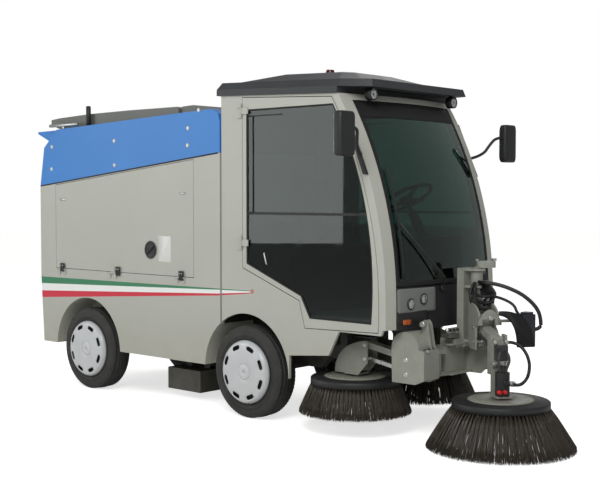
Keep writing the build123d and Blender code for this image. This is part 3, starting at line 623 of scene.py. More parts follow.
# tyres with tread
tyreForm = {
    "radius": 0.320, "bead": 0.2055, "around": 288, "grooves": (-0.045, -0.0155, 0.0155, 0.045),
    "grooveHalf": 0.0042, "depth": 0.0065, "sipes": 72, "crown": 2.2, "crownHalf": 0.0595,
    # slanted cuts: radians per metre of width, share of the grooves' depth, and for the outer and the
    # inner ones the level of the wave they start at and their distance from the middle
    "slant": 95, "cutDepth": 0.45, "outerCut": (0.62, 0.018), "innerCut": (0.75, 0.012), "innerShift": 1.6,
    # flank as height over the bead and distance from the middle, with two raised rings
    "flank": ((0, 0.0655), (0.012, 0.0745), (0.030, 0.0820), (0.040, 0.0835), (0.0405, 0.0850),
              (0.047, 0.0858), (0.0475, 0.0845), (0.066, 0.0866), (0.080, 0.0850), (0.092, 0.0810),
              (0.1015, 0.0760), (0.1085, 0.0700), (0.1115, 0.0660)),
}


def tyreSurface(form):
    # radius r over the angle round and the width y: the flank's profile up to the shoulders, then a
    # crown that falls with y squared, lower by the depth in four grooves and by a share of it in cuts
    flank = np.array(form["flank"])
    grooves = np.array(form["grooves"])[:, None] + form["grooveHalf"] * np.array([-1, -0.7, 0.7, 1])
    plain = np.linspace(-form["crownHalf"], form["crownHalf"], 15)
    crown = np.sort(np.concatenate([grooves.ravel(), plain]))
    y = np.concatenate([-flank[:, 1], crown, flank[::-1, 1]])
    rise = np.concatenate([flank[:, 0], np.full(len(crown), 1.0), flank[::-1, 0]])
    onCrown = rise > 0.5
    inGroove = onCrown & (np.abs(y[:, None] - np.array(form["grooves"])).min(1) < form["grooveHalf"] * 0.75)
    r = np.where(onCrown, form["radius"] - form["crown"] * y**2, form["bead"] + rise)
    r = r - inGroove * form["depth"]
    angle = np.arange(form["around"]) / form["around"] * 2 * math.pi
    phase = angle[:, None] * form["sipes"] + y * form["slant"] * np.sign(y)
    level, beyond = form["outerCut"]
    cut = (np.cos(phase) > level) & (r > form["bead"] + 0.1) & (np.abs(y) > beyond)
    level, within = form["innerCut"]
    cut |= (np.cos(phase + form["innerShift"]) > level) & (np.abs(y) < within)
    return angle[:, None], r - cut * ~inGroove * form["depth"] * form["cutDepth"], y


angle, r, y = tyreSurface(tyreForm)
for corner, side in corners:
    points = np.stack([r * np.sin(angle), np.broadcast_to(y, r.shape), r * np.cos(angle)], -1)
    points += boxMiddle("tyre_" + corner)
    faces = gridFaces(*r.shape, wrapRows=True, wrapColumns=True)
    tyre = meshPiece("treaded_tyre_" + corner, points, faces, tyreRubber, "wheel_" + corner)
    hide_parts("tyre_" + corner)

hubCap = {
    "out": 0.108,
    "profile": ((0.001, -0.004), (0.054, -0.004), (0.054, 0.001), (0.050, 0.004), (0.030, 0.006),
                (0.001, 0.006)),
}
for corner, side in corners:
    middle = boxMiddle("tyre_" + corner) + [0, side * hubCap["out"], 0]
    points, faces = turned(hubCap["profile"], 48, middle, (0, side, 0))
    meshPiece("hub_cap_" + corner, points, faces, wheelSilver, "wheel_" + corner)
print("tyres treaded")


# brushes: bristles set in a ring, a steel plate on top
brushMake = {
    "clumps": 76, "perClump": 17, "rows": 3, "thick": 0.0017, "skirt": 0.044,
    "plateBolts": 8, "boltCircle": 0.165, "rowShift": 0.37,
    "rootIn": 0.012, "rootStep": 0.017, "rootUp": 0.004,
    "tipIn": 0.004, "tipStep": 0.026, "tipUp": 0.001, "outPower": 0.9, "earlyLean": 0.25,
    # how much single bristles differ: root's radius, lean in clumps, tip's radius and height, sway
    "scatter": (0.002, 0.34, 0.006, 0.007, 0.012),
    "forms": {
        # body name, then radius at the tips, radius of the ring, height of its top, height of the tips
        "side_brush_right": (0.370, 0.290, 0.360, 0.120),
        "side_brush_left": (0.370, 0.290, 0.360, 0.120),
        "front_brush": (0.455, 0.295, 0.300, 0.0),
    },
}


def bristlePaths(tipR, ringR, ringZ, tipZ, make):
    # every bristle leaves the ring's foot and runs outwards: its radius grows with a power of t, its
    # height falls evenly, and it leans a little of its own along the ring
    total = make["clumps"] * make["perClump"] * make["rows"]
    row = np.repeat(np.arange(make["rows"]), make["clumps"] * make["perClump"])
    clump = np.tile(np.repeat(np.arange(make["clumps"]), make["perClump"]), make["rows"])
    rootOff, lean, tipOff, rise, sway = make["scatter"]
    foot = (clump + row * make["rowShift"]) / make["clumps"] * 2 * math.pi
    startR = ringR - make["rootIn"] - make["rootStep"] * row + rng.normal(0, rootOff, total)
    spread = rng.normal(0, lean, total) * 2 * math.pi / make["clumps"]
    endR = tipR - make["tipIn"] - make["tipStep"] * row - np.abs(rng.normal(0, tipOff, total))
    startZ = ringZ + make["rootUp"] - make["skirt"]
    endZ = tipZ + make["tipUp"] + np.abs(rng.normal(0, rise, total))
    t = np.linspace(0, 1, 5)[None]
    radius = startR[:, None] + (endR - startR)[:, None] * t ** make["outPower"]
    height = startZ + (endZ - startZ)[:, None] * t
    early = make["earlyLean"]
    angle = foot[:, None] + spread[:, None] * (early + (1 - early) * t)
    angle = angle + rng.normal(0, sway, total)[:, None] * t**2
    return np.stack([radius * np.cos(angle), radius * np.sin(angle), height], -1)


for name, (tipR, ringR, ringZ, tipZ) in brushMake["forms"].items():
    centre = boxMiddle(name) * [1, 1, 0]
    paths = bristlePaths(tipR, ringR, ringZ, tipZ, brushMake) + centre
    points, faces = sweep(paths, circle(brushMake["thick"], 3), sizes=(1, 1, 0.95, 0.9, 0.7))
    strands = meshPiece(name + "_bristles", points, faces, bristle, name)
    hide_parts(name)
    z = ringZ
    ring = [(0.150, z - 0.030), (0.150, z - 0.004), (0.204, z - 0.005), (0.206, z - 0.008),
            (ringR - 0.006, z - 0.008), (ringR, z - 0.014), (ringR, z - 0.052), (ringR - 0.050, z - 0.052),
            (ringR - 0.056, z - 0.030)]
    points, faces = turned(ring, 96, centre)
    meshPiece(name + "_ring", points, faces, blackPlastic, name)
    plate = [(0.016, z - 0.003), (0.016, z + 0.002), (0.186, z + 0.002), (0.190, z + 0.0005),
             (0.203, z - 0.004)]
    points, faces = turned(plate, 72, centre)
    meshPiece(name + "_plate", points, faces, plateGrey, name)
    turn = np.arange(brushMake["plateBolts"]) / brushMake["plateBolts"] * 2 * math.pi + 0.2
    bolts = brushMake["boltCircle"] * np.stack([np.cos(turn), np.sin(turn), 0 * turn], -1)
    bolts += centre + [0, 0, z + 0.002]
    boltHeads(name + "_bolts", bolts, (0, 0, 1), 0.008, 0.005, zinc, name, "zinc_steel")
print("brushes bristled")


# seat pads, swollen by a short cloth run
padForm = {
    "cushionHigh": 0.100, "backThick": 0.10, "grow": 0.012, "push": 0.016, "square": 0.28, "voxel": 0.007,
    "pressure": 4, "spill": 0.006,
}


def softPad(name, low, high, form):
    # a rounded block: on a sphere's grid, each of the sines and cosines is raised to a small power,
    # which squares it, and it is smaller than its room by what it swells
    size = (np.array(high) - np.array(low)) / 2 - form["grow"]
    middle = (np.array(high) + np.array(low)) / 2
    u = np.linspace(-math.pi, math.pi, 97)[None, :-1]
    v = np.linspace(-math.pi / 2, math.pi / 2, 49)[:, None]
    waves = [np.cos(v) + 0 * u, np.cos(u) + 0 * v, np.sin(u) + 0 * v, np.sin(v) + 0 * u]
    cosV, cosU, sinU, sinV = [np.sign(w) * np.abs(w) ** form["square"] for w in waves]
    points = np.stack([cosV * cosU * size[0], cosV * sinU * size[1], sinV * size[2]], -1) + middle
    faces = gridFaces(49, 96, wrapColumns=True)
    piece = meshPiece(name, points, faces, seatCloth, "chassis", merge=0.0005)
    bpy.context.view_layer.objects.active = piece
    mesher = piece.modifiers.new("remesh", "REMESH")
    mesher.mode, mesher.voxel_size = "VOXEL", form["voxel"]
    bpy.ops.object.modifier_apply(modifier=mesher.name)
    before = np.zeros(len(piece.data.vertices) * 3)
    piece.data.vertices.foreach_get("co", before)
    cloth = piece.modifiers.new("cloth", "CLOTH")
    cloth.settings.use_pressure = True
    cloth.settings.uniform_pressure_force = form["pressure"]
    cloth.settings.effector_weights.gravity = 0
    for step in range(1, 21):
        bpy.context.scene.frame_set(step)
    bpy.ops.object.modifier_apply(modifier=cloth.name)
    after = np.zeros_like(before)
    piece.data.vertices.foreach_get("co", after)
    move = (after - before).reshape(-1, 3)
    length = np.linalg.norm(move, axis=1, keepdims=True)
    held = before.reshape(-1, 3) + move * np.minimum(1, form["push"] / np.maximum(length, 1e-9))
    held = np.clip(held, np.array(low) - form["spill"], np.array(high) + form["spill"])
    piece.data.vertices.foreach_set("co", held.ravel())
    bpy.context.scene.frame_set(1)
    piece.data.update()
    piece.data.polygons.foreach_set("use_smooth", np.ones(len(piece.data.polygons), bool))
    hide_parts("seat_pads")


low, high = [np.array(c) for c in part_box("seat_pads")]
seam = low[2] + padForm["cushionHigh"]
softPad("seat_cushion", low + [0.02, 0, 0], (high[0], high[1], seam), padForm)
backLow = (low[0], low[1] + 0.01, seam + 0.0005)
softPad("seat_back", backLow, (low[0] + padForm["backThick"], high[1] - 0.01, high[2]), padForm)
print("seat padded")


# details of the rear body, the same on both sides
bodyTrim = {
    "gasketEnds": ((-2.352, 1.5985), (-0.262, 1.8145)), "gasketHalf": 0.005,
    "coverBolts": ((-2.199, 1.911), (-2.205, 1.732), (-1.400, 1.934), (-1.399, 1.750), (-0.570, 1.997),
                   (-0.574, 1.875), (-0.457, 2.119)),
    "washer": ((0.002, 0), (0.017, 0), (0.016, 0.0015), (0.002, 0.0015)),
    "hinges": (-2.057, -1.354, -0.637), "hingeZ": 0.930, "hingeHalf": (0.026, 0.034, 0.006),
    "screwStep": 0.012,
    "latches": ((-2.054, 1.487), (-0.631, 1.536)), "latchHalf": (0.034, 0.007, 0.006),
    # place and half sizes of the label; place and radius of the filler cap and of the ring
    "label": (-0.826, 1.132, 0.067, 0.093), "filler": (-0.978, 1.121, 0.064), "ringAt": (0.066, 0.873, 0.011),
}
for hand, side in hands:
    flap, out = "flap_" + hand, (0, side, 0)
    facing = ((-side, 0, 0), (0, 0, 1))
    ends = [at(x, side * (bodyHalf + 0.0005), z) for x, z in bodyTrim["gasketEnds"]]
    path = evenSteps(np.array(ends), 0.2, closed=False)
    points, faces = sweep(path, roundRect(0.0015, bodyTrim["gasketHalf"], 0.001))
    meshPiece("cover_gasket_" + hand, points, faces, sealRubber, "chassis")
    bolts = [at(x, side * bodyHalf, z) for x, z in bodyTrim["coverBolts"]]
    boltHeads("cover_bolts_" + hand, bolts, out, 0.011, 0.005, zinc, "chassis", "zinc_steel")
    washers = [turned(bodyTrim["washer"], 24, bolt, out) for bolt in bolts]
    formPiece("cover_washers_" + hand, washers, zinc, "chassis")
    # hinge covers over the leaves, and two screws in each
    for number, x in enumerate(bodyTrim["hinges"]):
        place = at(x, side * (bodyHalf + 0.009), bodyTrim["hingeZ"] + 0.016)
        points, faces = platePoints(roundRect(*bodyTrim["hingeHalf"]), place, *facing, 0.006, 0.003)
        meshPiece("hinge_cover_%s_%d" % (hand, number), points, faces, blackPlastic, flap)
    screws = [at(x + k * bodyTrim["screwStep"], side * (bodyHalf + 0.0155), bodyTrim["hingeZ"] + 0.032)
              for x in bodyTrim["hinges"] for k in (-1, 1)]
    boltHeads("hinge_screws_" + hand, screws, out, 0.005, 0.003, zinc, flap, "zinc_steel")
    # latch paddles over the recessed pulls
    for number, (x, z) in enumerate(bodyTrim["latches"]):
        outline = roundRect(*bodyTrim["latchHalf"])
        points, faces = platePoints(outline, at(x, side * bodyHalf, z), *facing, 0.004, 0.0015)
        meshPiece("latch_paddle_%s_%d" % (hand, number), points, faces, zinc, flap)
    if side > 0:
        continue
    # what only the right side has: the filler cap, a bare label and the small ring at the stripe's tip
    x, z, radius = bodyTrim["filler"]
    cap = [(0.001, 0.003), (radius, 0.003), (radius + 0.001, 0.007), (radius - 0.003, 0.010),
           (radius - 0.012, 0.0095), (radius - 0.014, 0.007), (0.018, 0.0065), (0.016, 0.0105),
           (0.001, 0.0105)]
    points, faces = turned(cap, 48, at(x, -bodyHalf, z), out)
    meshPiece("filler_cap_disc", points, faces, blackPlastic, flap)
    slant = ((0.8, 0, 0.6), (-0.6, 0, 0.8))
    outline = roundRect(0.050, 0.006, 0.005)
    points, faces = platePoints(outline, at(x, -bodyHalf - 0.0065, z), *slant, 0.009, 0.003)
    meshPiece("filler_cap_grip", points, faces, blackPlastic, flap)
    x, z, halfA, halfB = bodyTrim["label"]
    outline = roundRect(halfA, halfB, 0.006)
    points, faces = platePoints(outline, at(x, -bodyHalf, z), *facing, 0.0012, 0.0004)
    meshPiece("bare_label", points, faces, whiteVinyl, flap)
    x, z, radius = bodyTrim["ringAt"]
    ring = [(radius - 0.003, 0.0), (radius + 0.003, 0.0), (radius + 0.003, 0.0008), (radius - 0.003, 0.0008)]
    points, faces = turned(ring, 32, at(x, -bodyHalf, z), out)
    meshPiece("stripe_ring", points, faces, redPlastic, "chassis")
print("body trimmed")


# doors: rubber seal round the glass, the sliding pane's frame, a pull handle
doorTrim = {
    "sealHalf": 0.007, "sealInset": 0.004, "barZ": 1.402, "barHalf": 0.009, "thinHalf": 0.004,
    "paneX": (0.070, 0.335), "paneTop": 2.052, "gripR": 0.0055, "gripOut": 0.010,
    "handle": ((0.178, 1.137), (0.190, 1.100), (0.201, 1.064)),
}
for hand, side in hands:
    door = "door_" + hand
    rim = evenSteps(faceRim("door_glass_" + hand, side), 0.012)
    middle = rim.mean(0)
    glassY = rim[0, 1]
    ahead = np.roll(rim, -1, 0) - np.roll(rim, 1, 0)
    inward = np.stack([-ahead[:, 2], 0 * ahead[:, 0], ahead[:, 0]], -1)
    inward /= np.linalg.norm(inward, axis=1, keepdims=True) + 1e-12
    inward *= np.sign((inward * (middle - rim)).sum(1).mean())
    seal = rim + inward * doorTrim["sealInset"] + [0, side * 0.002, 0]
    section = roundRect(doorTrim["sealHalf"], 0.0055, 0.004)
    points, faces = sweep(seal, section, closed=True, lean=[[[0, 1.0, 0]]])
    meshPiece("door_seal_" + hand, points, faces, sealRubber, door)
    barZ, topZ = doorTrim["barZ"], doorTrim["paneTop"]
    rearX = rim[:, 0].min() + 0.008
    frontX = rim[np.abs(rim[:, 2] - barZ) < 0.01][:, 0].max() - 0.008
    uprightX, headerX = [x + axleX for x in doorTrim["paneX"]]
    y = glassY + side * 0.003
    runs = {
        # ends, half height and upright of each bar
        "bar": (((rearX, y, barZ), (frontX, y, barZ)), doorTrim["barHalf"], (0, 0, 1.0)),
        "upright": (((uprightX, y, barZ), (uprightX, y, topZ)), doorTrim["thinHalf"], (1.0, 0, 0)),
        "header": (((rearX, y, topZ), (headerX, y, topZ)), doorTrim["thinHalf"], (0, 0, 1.0)),
    }
    for part, (ends, half, lean) in runs.items():
        path = evenSteps(np.array(ends), 0.1, closed=False)
        points, faces = sweep(path, roundRect(0.003, half, 0.002), lean=[[lean]])
        meshPiece("door_%s_%s" % (part, hand), points, faces, blackPlastic, door)
    grip = np.array([at(x, glassY + side * doorTrim["gripOut"], z) for x, z in doorTrim["handle"]])
    foot = [0, side * (doorTrim["gripOut"] - 0.001), 0]
    grip = np.concatenate([grip[:1] - foot, grip, grip[-1:] - foot])
    points, faces = sweep(evenSteps(grip, 0.006, closed=False), circle(doorTrim["gripR"], 10))
    meshPiece("door_handle_" + hand, points, faces, zinc, door)
print("doors trimmed")


# windscreen border: the black printed band that hides the glue line
screenForm = {
    "pillarX": 1.281, "curveR": 2.540, "curveZ": 0.850, "planR": 2.275, "halfWide": 0.519, "bottom": 0.962,
    "inset": 0.0045, "sideBand": 0.030, "topBand": 0.105, "bottomBand": 0.030, "bandThick": 0.0008,
}


def screenPoint(y, z, inset):
    # the cab's front: an arc in the middle plane, turned about an upright axis behind the driver;
    # below the curve's foot it stands upright
    form = screenForm
    over = np.maximum(z - form["curveZ"], 0)
    ahead = form["pillarX"] - form["curveR"] + np.sqrt((form["curveR"] - inset) ** 2 - over**2)
    axisX = form["pillarX"] - form["planR"]
    return np.stack(np.broadcast_arrays(axisX + np.sqrt((ahead - axisX) ** 2 - y**2) + axleX, y, z), -1)


topZ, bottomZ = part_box("windscreen")[1][2] - 0.002, screenForm["bottom"]
halfY = screenForm["halfWide"]
t = np.linspace(-1, 1, 41)
upright = (t + 1) / 2 * (topZ - bottomZ) + bottomZ
bands = {
    # outer and inner edge of each band, as Y and Z
    "top": ((t * halfY, topZ), (t * halfY, topZ - screenForm["topBand"])),
    "bottom": ((t * halfY, bottomZ), (t * halfY, bottomZ + screenForm["bottomBand"])),
}
for hand, side in hands:
    bands[hand] = ((side * halfY, upright), (side * (halfY - screenForm["sideBand"]), upright))
for part, edges in bands.items():
    outer, inner = [np.stack(np.broadcast_arrays(*edge)) for edge in edges]
    rows = [outer + (inner - outer) * k for k in np.linspace(0, 1, 4)]
    points = np.concatenate([screenPoint(*row, screenForm["inset"]) for row in rows])
    faces = gridFaces(4, 41)
    border = meshPiece("screen_border_" + part, points, faces, sealRubber, "chassis")
    thick = border.modifiers.new("thickness", "SOLIDIFY")
    thick.thickness, thick.offset = screenForm["bandThick"], 0.0
print("windscreen bordered")


# lamps: a dark bezel round each lens, shells on the work lamps
lampForm = {
    "lenses": ((0.410, 0.852), (0.300, 0.878)), "workLamp": (0.955, 0.440), "workDrop": 0.042,
    "bezel": ((0.0325, 0.008), (0.0355, 0.008), (0.0355, 0.0165), (0.0295, 0.0185), (0.0295, 0.0145),
              (0.0325, 0.0145)),
    "shell": ((0.0364, -0.023), (0.040, -0.019), (0.040, 0.025), (0.033, 0.027), (0.033, 0.0238),
              (0.0364, 0.0238)),
}
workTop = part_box("lamps")[1][2]
for hand, side in hands:
    bezels = []
    for y, z in lampForm["lenses"]:
        bezels.append(turned(lampForm["bezel"], 40, screenPoint(side * y, z, 0.004), (1, 0, 0)))
    formPiece("lamp_bezels_" + hand, bezels, darkSteel, "chassis")
    x, y = lampForm["workLamp"]
    points, faces = turned(lampForm["shell"], 40, at(x, side * y, workTop - lampForm["workDrop"]), (1, 0, 0))
    meshPiece("work_lamp_shell_" + hand, points, faces, blackPlastic, "chassis")
print("lamps finished")


# mirrors: the silvered glass faces back
mirrorForm = {"x": 1.124, "y": 0.900, "z": 1.885, "back": 0.0305, "glass": (0.062, 0.120, 0.022)}
for hand, side in hands:
    place = at(mirrorForm["x"] - mirrorForm["back"], side * mirrorForm["y"], mirrorForm["z"])
    outline = roundRect(*mirrorForm["glass"])
    points, faces = platePoints(outline, place, (0, -1, 0), (0, 0, 1), 0.0012, 0.0005)
    meshPiece("mirror_glass_" + hand, points, faces, mirrorGlass, "chassis")
print("mirrors silvered")


# wheel trims: a moulded disc with eight slots over the dark rim
trimForm = {
    # pairs of radius and distance from the wheel's middle plane
    "rise": ((0.048, 0.1055), (0.062, 0.1100), (0.085, 0.1135), (0.120, 0.1155), (0.150, 0.1175),
             (0.159, 0.1178), (0.167, 0.1172), (0.181, 0.1158), (0.189, 0.1148), (0.198, 0.1120),
             (0.206, 0.1040), (0.213, 0.0930), (0.2165, 0.0800)),
    "slots": 8, "columns": 16, "slotColumns": (4, 12), "slotRows": (5, 8), "leastSqueeze": 0.5,
    "thick": 0.003,
}
radius, rise = np.array(trimForm["rise"]).T[:, :, None]
count = trimForm["slots"] * trimForm["columns"]
angle = np.arange(count)[None] / count * 2 * math.pi
first, last = trimForm["slotColumns"]
top, bottom = trimForm["slotRows"]
along = (np.arange(count) % trimForm["columns"] - (first + last) / 2) / ((last - first) / 2)
# a slot's ends are rounded: its half height shrinks as the fourth root of 1 - p^4 near them
shrink = np.maximum(np.maximum(1 - along**4, 0) ** 0.25, trimForm["leastSqueeze"])
squeeze = np.where(np.abs(along) <= 1, shrink, 1.0)[None]
rows = np.arange(len(radius))[:, None]
slotMiddle = radius[[top, bottom]].mean()
inSlot = (rows >= top) & (rows <= bottom)
r = np.where(inSlot, slotMiddle + (radius - slotMiddle) * squeeze, radius + 0 * squeeze)
faces = gridFaces(*r.shape, wrapColumns=True)
faceRow, faceColumn = np.divmod(np.arange(len(faces)), count)
column = faceColumn % trimForm["columns"]
cut = (faceRow >= top) & (faceRow < bottom) & (column >= first) & (column < last)
for corner, side in corners:
    middle = boxMiddle("tyre_" + corner)
    points = np.stack([middle[0] + r * np.sin(angle), np.broadcast_to(middle[1] + side * rise, r.shape),
                       middle[2] + r * np.cos(angle)], -1)
    name, body = "wheel_trim_" + corner, "wheel_" + corner
    trim = meshPiece(name, points, faces[~cut], wheelSilver, body)
    skin = trim.modifiers.new("thickness", "SOLIDIFY")
    skin.thickness, skin.offset = trimForm["thick"], 0.0
print("wheels trimmed")


# on the body's top: a low lid, a hump towards the cab, a post and a pipe
topForm = {
    "lid": ((-2.131, 2.046), (-2.250, 2.066), (-2.340, 2.102), (-2.340, 2.138), (-2.230, 2.148),
            (-1.840, 2.163), (-1.340, 2.168), (-0.800, 2.166), (-0.782, 2.150), (-0.775, 2.101)),
    "hump": ((-0.772, 2.101), (-0.768, 2.160), (-0.755, 2.167), (-0.640, 2.171), (-0.420, 2.132),
             (-0.405, 2.125), (-0.402, 2.116)),
    "width": {"lid": 1.000, "hump": 0.960}, "edge": 0.008,
    # the post's place, then radius, foot and top of its flange and of the post itself
    "post": (-1.810, -0.526, 2.059), "flange": (0.030, 0.0, 0.008), "stem": (0.019, 0.006, 0.164),
    "pipe": (-2.088, -0.560, 2.084), "pipeR": 0.013, "pipeHalf": 0.187, "saddleHalf": (0.010, 0.012),
}
for part, width in topForm["width"].items():
    form = slab([at(x, 0, z) for x, z in topForm[part]], width, topForm["edge"])
    formPiece("top_" + part, [form], lidGrey, "chassis", smooth=False)
post = at(*topForm["post"])
forms = [can(*topForm["flange"], post), can(*topForm["stem"], post, ease=0.006)]
formPiece("top_post", forms, blackPlastic, "chassis")
pipe = at(*topForm["pipe"])
saddle = block(pipe - [0, 0, 0.036], pipe - [0, 0, 0.008], *topForm["saddleHalf"])
forms = [can(topForm["pipeR"], -topForm["pipeHalf"], topForm["pipeHalf"], pipe, (1, 0, 0)), saddle]
formPiece("top_pipe", forms, zinc, "chassis")
print("top finished")


def facePatch(y, z, halfY, halfZ, corner, proud, back, dome=0.0):
    # a rounded patch that follows the cab's front: rings shrink to its middle, and the rim goes back
    outline = roundRect(halfY, halfZ, corner, 7)
    ease = 1 - 0.002 / max(halfY, halfZ)
    rings = [(1.0, back), (1.0, 0.002 - proud), (ease, -proud)]
    rings += [(k, -proud - dome * (1 - k * k)) for k in (0.85, 0.7, 0.5, 0.3, 0.1)]
    points = [screenPoint(y + outline[:, 0] * k, z + outline[:, 1] * k, inset) for k, inset in rings]
    sides = len(outline)
    lid = np.arange(sides)[None]
    faces = [gridFaces(len(rings), sides, wrapColumns=True), lid, lid + (len(rings) - 1) * sides]
    return np.concatenate(points), faces


# lamp units on the cab's front, work lamps under the visor, tail lamps
unitForm = {
    # each patch: middle in Y and Z, half sizes, corner; then how far it stands out, goes back and domes
    "housing": (0.351, 0.874, 0.161, 0.074, 0.012), "housingDepth": (0.008, 0.010),
    "wrap": (0.392, 0.772, 0.128, 0.036, 0.010), "wrapDepth": (0.006, 0.010),
    "lens": (0.032, 0.032, 0.0315), "lensDepth": (0.010, 0.0, 0.005),
    "indicator": (0.440, 0.742, 0.034, 0.017, 0.0165), "indicatorDepth": (0.010, 0.004, 0.003),
    "work": (0.955, 0.440, 2.155), "workCan": (0.036, -0.023, 0.022), "workLens": (0.0325, 0.0215, 0.026),
    "workStem": (0.030, 0.052, 0.010, 0.012),
    "tail": (-2.360, 0.550), "tailHeights": (0.960, 1.060, 1.160), "tailCan": (0.040, -0.004, 0.010),
    "tailLens": (0.035, 0.009, 0.017),
}
ahead, back = (1, 0, 0), (-1, 0, 0)
unitPieces = {
    "lamp_units": (greyPlastic, "lamp_glass"), "lamp_wraps": (blackPlastic, "black_plastic"),
    "lamp_lenses": (headLens, "lamp_glass"), "work_lamp_cans": (blackPlastic, "black_plastic"),
    "tail_lamp_cans": (blackPlastic, "black_plastic"), "tail_lenses": (redLens, "beacon_plastic"),
}
units = {name: [] for name in unitPieces}
for side in (-1, 1):
    form = unitForm
    for name, part in (("lamp_units", "housing"), ("lamp_wraps", "wrap")):
        y, *patch = form[part]
        units[name].append(facePatch(side * y, *patch, *form[part + "Depth"]))
    for y, z in lampForm["lenses"]:
        units["lamp_lenses"].append(facePatch(side * y, z, *form["lens"], *form["lensDepth"]))
    y, *patch = form["indicator"]
    units["lamp_lenses"].append(facePatch(side * y, *patch, *form["indicatorDepth"]))
    x, y, z = form["work"]
    place = at(x, side * y, z)
    low, high, halfA, halfB = form["workStem"]
    units["work_lamp_cans"].append(can(*form["workCan"], place, ahead, 0.006))
    units["work_lamp_cans"].append(block(place + [0, 0, low], place + [0, 0, high], halfA, halfB))
    units["lamp_lenses"].append(can(*form["workLens"], place, ahead))
    x, y = form["tail"]
    for z in form["tailHeights"]:
        units["tail_lamp_cans"].append(can(*form["tailCan"], at(x, side * y, z), back))
        units["tail_lenses"].append(can(*form["tailLens"], at(x, side * y, z), back, 0.005))
for name, (material, slot) in unitPieces.items():
    piece = formPiece(name, units[name], material, "chassis")
    if name == "lamp_units":
        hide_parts("lamps")
print("lamp units finished")


# mirrors on bent arms
armForm = {
    "route": ((1.006, 0.604, 1.776), (1.050, 0.695, 1.800), (1.085, 0.735, 1.880), (1.114, 0.770, 1.925),
              (1.124, 0.850, 1.925)),
    "armR": 0.010, "section": (0.072, 0.031, 0.020),
    # the housing's heights about its middle and its size there
    "heights": (-0.131, -0.129, -0.118, -0.095, 0.095, 0.118, 0.129, 0.131),
    "sizes": (0.70, 0.84, 0.95, 1, 1, 0.95, 0.84, 0.70),
    # the foot plate: two heights, and the plate's reach behind the pillar's edge at each
    "footZ": (1.650, 2.015), "footBack": (-0.036, -0.026), "footY": 0.606, "footThick": 0.011,
    "knuckleY": (0.830, 0.862), "knuckleUp": 0.040, "knuckleHalf": (0.017, 0.022, 0.006),
}
for hand, side in hands:
    form = armForm
    x, y, z = mirrorForm["x"], side * mirrorForm["y"], mirrorForm["z"]
    spine = [at(x, y, z + h) for h in form["heights"]]
    shell = sweep(spine, roundRect(*form["section"], 6), sizes=form["sizes"])
    route = np.array([at(a, side * b, c) for a, b, c in form["route"]])
    arm = hose(route, form["armR"], 14, [1.0, 0.2, 0])
    lowX, highX = [screenPoint(side * bodyHalf, np.array(h), 0.0)[0] for h in form["footZ"]]
    footCorners = ((lowX + form["footBack"][0], 0), (lowX, 0), (highX, 1), (highX + form["footBack"][1], 1))
    foot = slab([(p, side * form["footY"], form["footZ"][k]) for p, k in footCorners], form["footThick"])
    ends = [at(x, side * k, z + form["knuckleUp"]) for k in form["knuckleY"]]
    knuckle = block(*ends, *form["knuckleHalf"])
    piece = formPiece("mirror_" + hand, [shell, arm, foot, knuckle], blackPlastic, "chassis")
    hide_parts("mirrors")
print("mirrors shaped")


# wiper: blade along the near edge of the screen, arm from a boss low in the middle
wiperForm = {
    "y": -0.464, "blade": (1.010, 1.690), "bladeOut": -0.009, "bladeHalf": (0.0045, 0.006, 0.002),
    "root": (-0.120, 0.935, -0.003), "grip": (1.350, -0.022), "gripHalf": (0.005, 0.012), "gripReach": 0.03,
    "knee": (0.034, -0.015, 0.070), "armR": 0.006, "boss": (0.020, -0.002, 0.014),
}
form = wiperForm
height = np.linspace(*form["blade"], 24)
path = screenPoint(np.full(24, form["y"]), height, form["bladeOut"])
blade = sweep(path, roundRect(*form["bladeHalf"]), lean=[[[0, 1.0, 0]]])
root = screenPoint(*form["root"])
grip = screenPoint(form["y"], *form["grip"])
arm = sweep([root + [0.004, 0, 0], root + form["knee"], grip], circle(form["armR"], 10), lean=[[[1.0, 0, 0]]])
ends = [grip + [-0.014, 0, k * form["gripReach"]] for k in (-1, 1)]
forms = [blade, arm, can(*form["boss"], root, ahead), block(*ends, *form["gripHalf"])]
formPiece("wiper", forms, blackPlastic, "chassis")
print("wiper fitted")


# front mechanism: bolts, hydraulic unions, caps and the hose to the front motor
boomFrame = {"turn": -35.5, "kingpin": (1.430, 0.045)}
boomAngle = math.radians(boomFrame["turn"])
alongBoom = np.array([math.cos(boomAngle), math.sin(boomAngle), 0])
acrossBoom = np.array([-math.sin(boomAngle), math.cos(boomAngle), 0])


def onBoom(u, v, z):
    # along the boom, across it, and up, from the boom's kingpin
    return at(*boomFrame["kingpin"], z) + u * alongBoom + v * acrossBoom


def boomHoses(routes, radius, sides=14):
    # round hoses whose routes are points on the boom
    return [hose([onBoom(*p) for p in route], radius, sides, [0.2, 0.3, 0.9]) for route in routes]


def unionProfile(r):
    # hydraulic union: sleeve, hexagon and collar as one turned form
    return [(r, -0.020), (r + 0.0035, -0.020), (r + 0.0035, -0.006), (r + 0.0075, -0.004),
            (r + 0.0075, 0.008), (r + 0.004, 0.010), (r + 0.004, 0.022), (r, 0.023)]


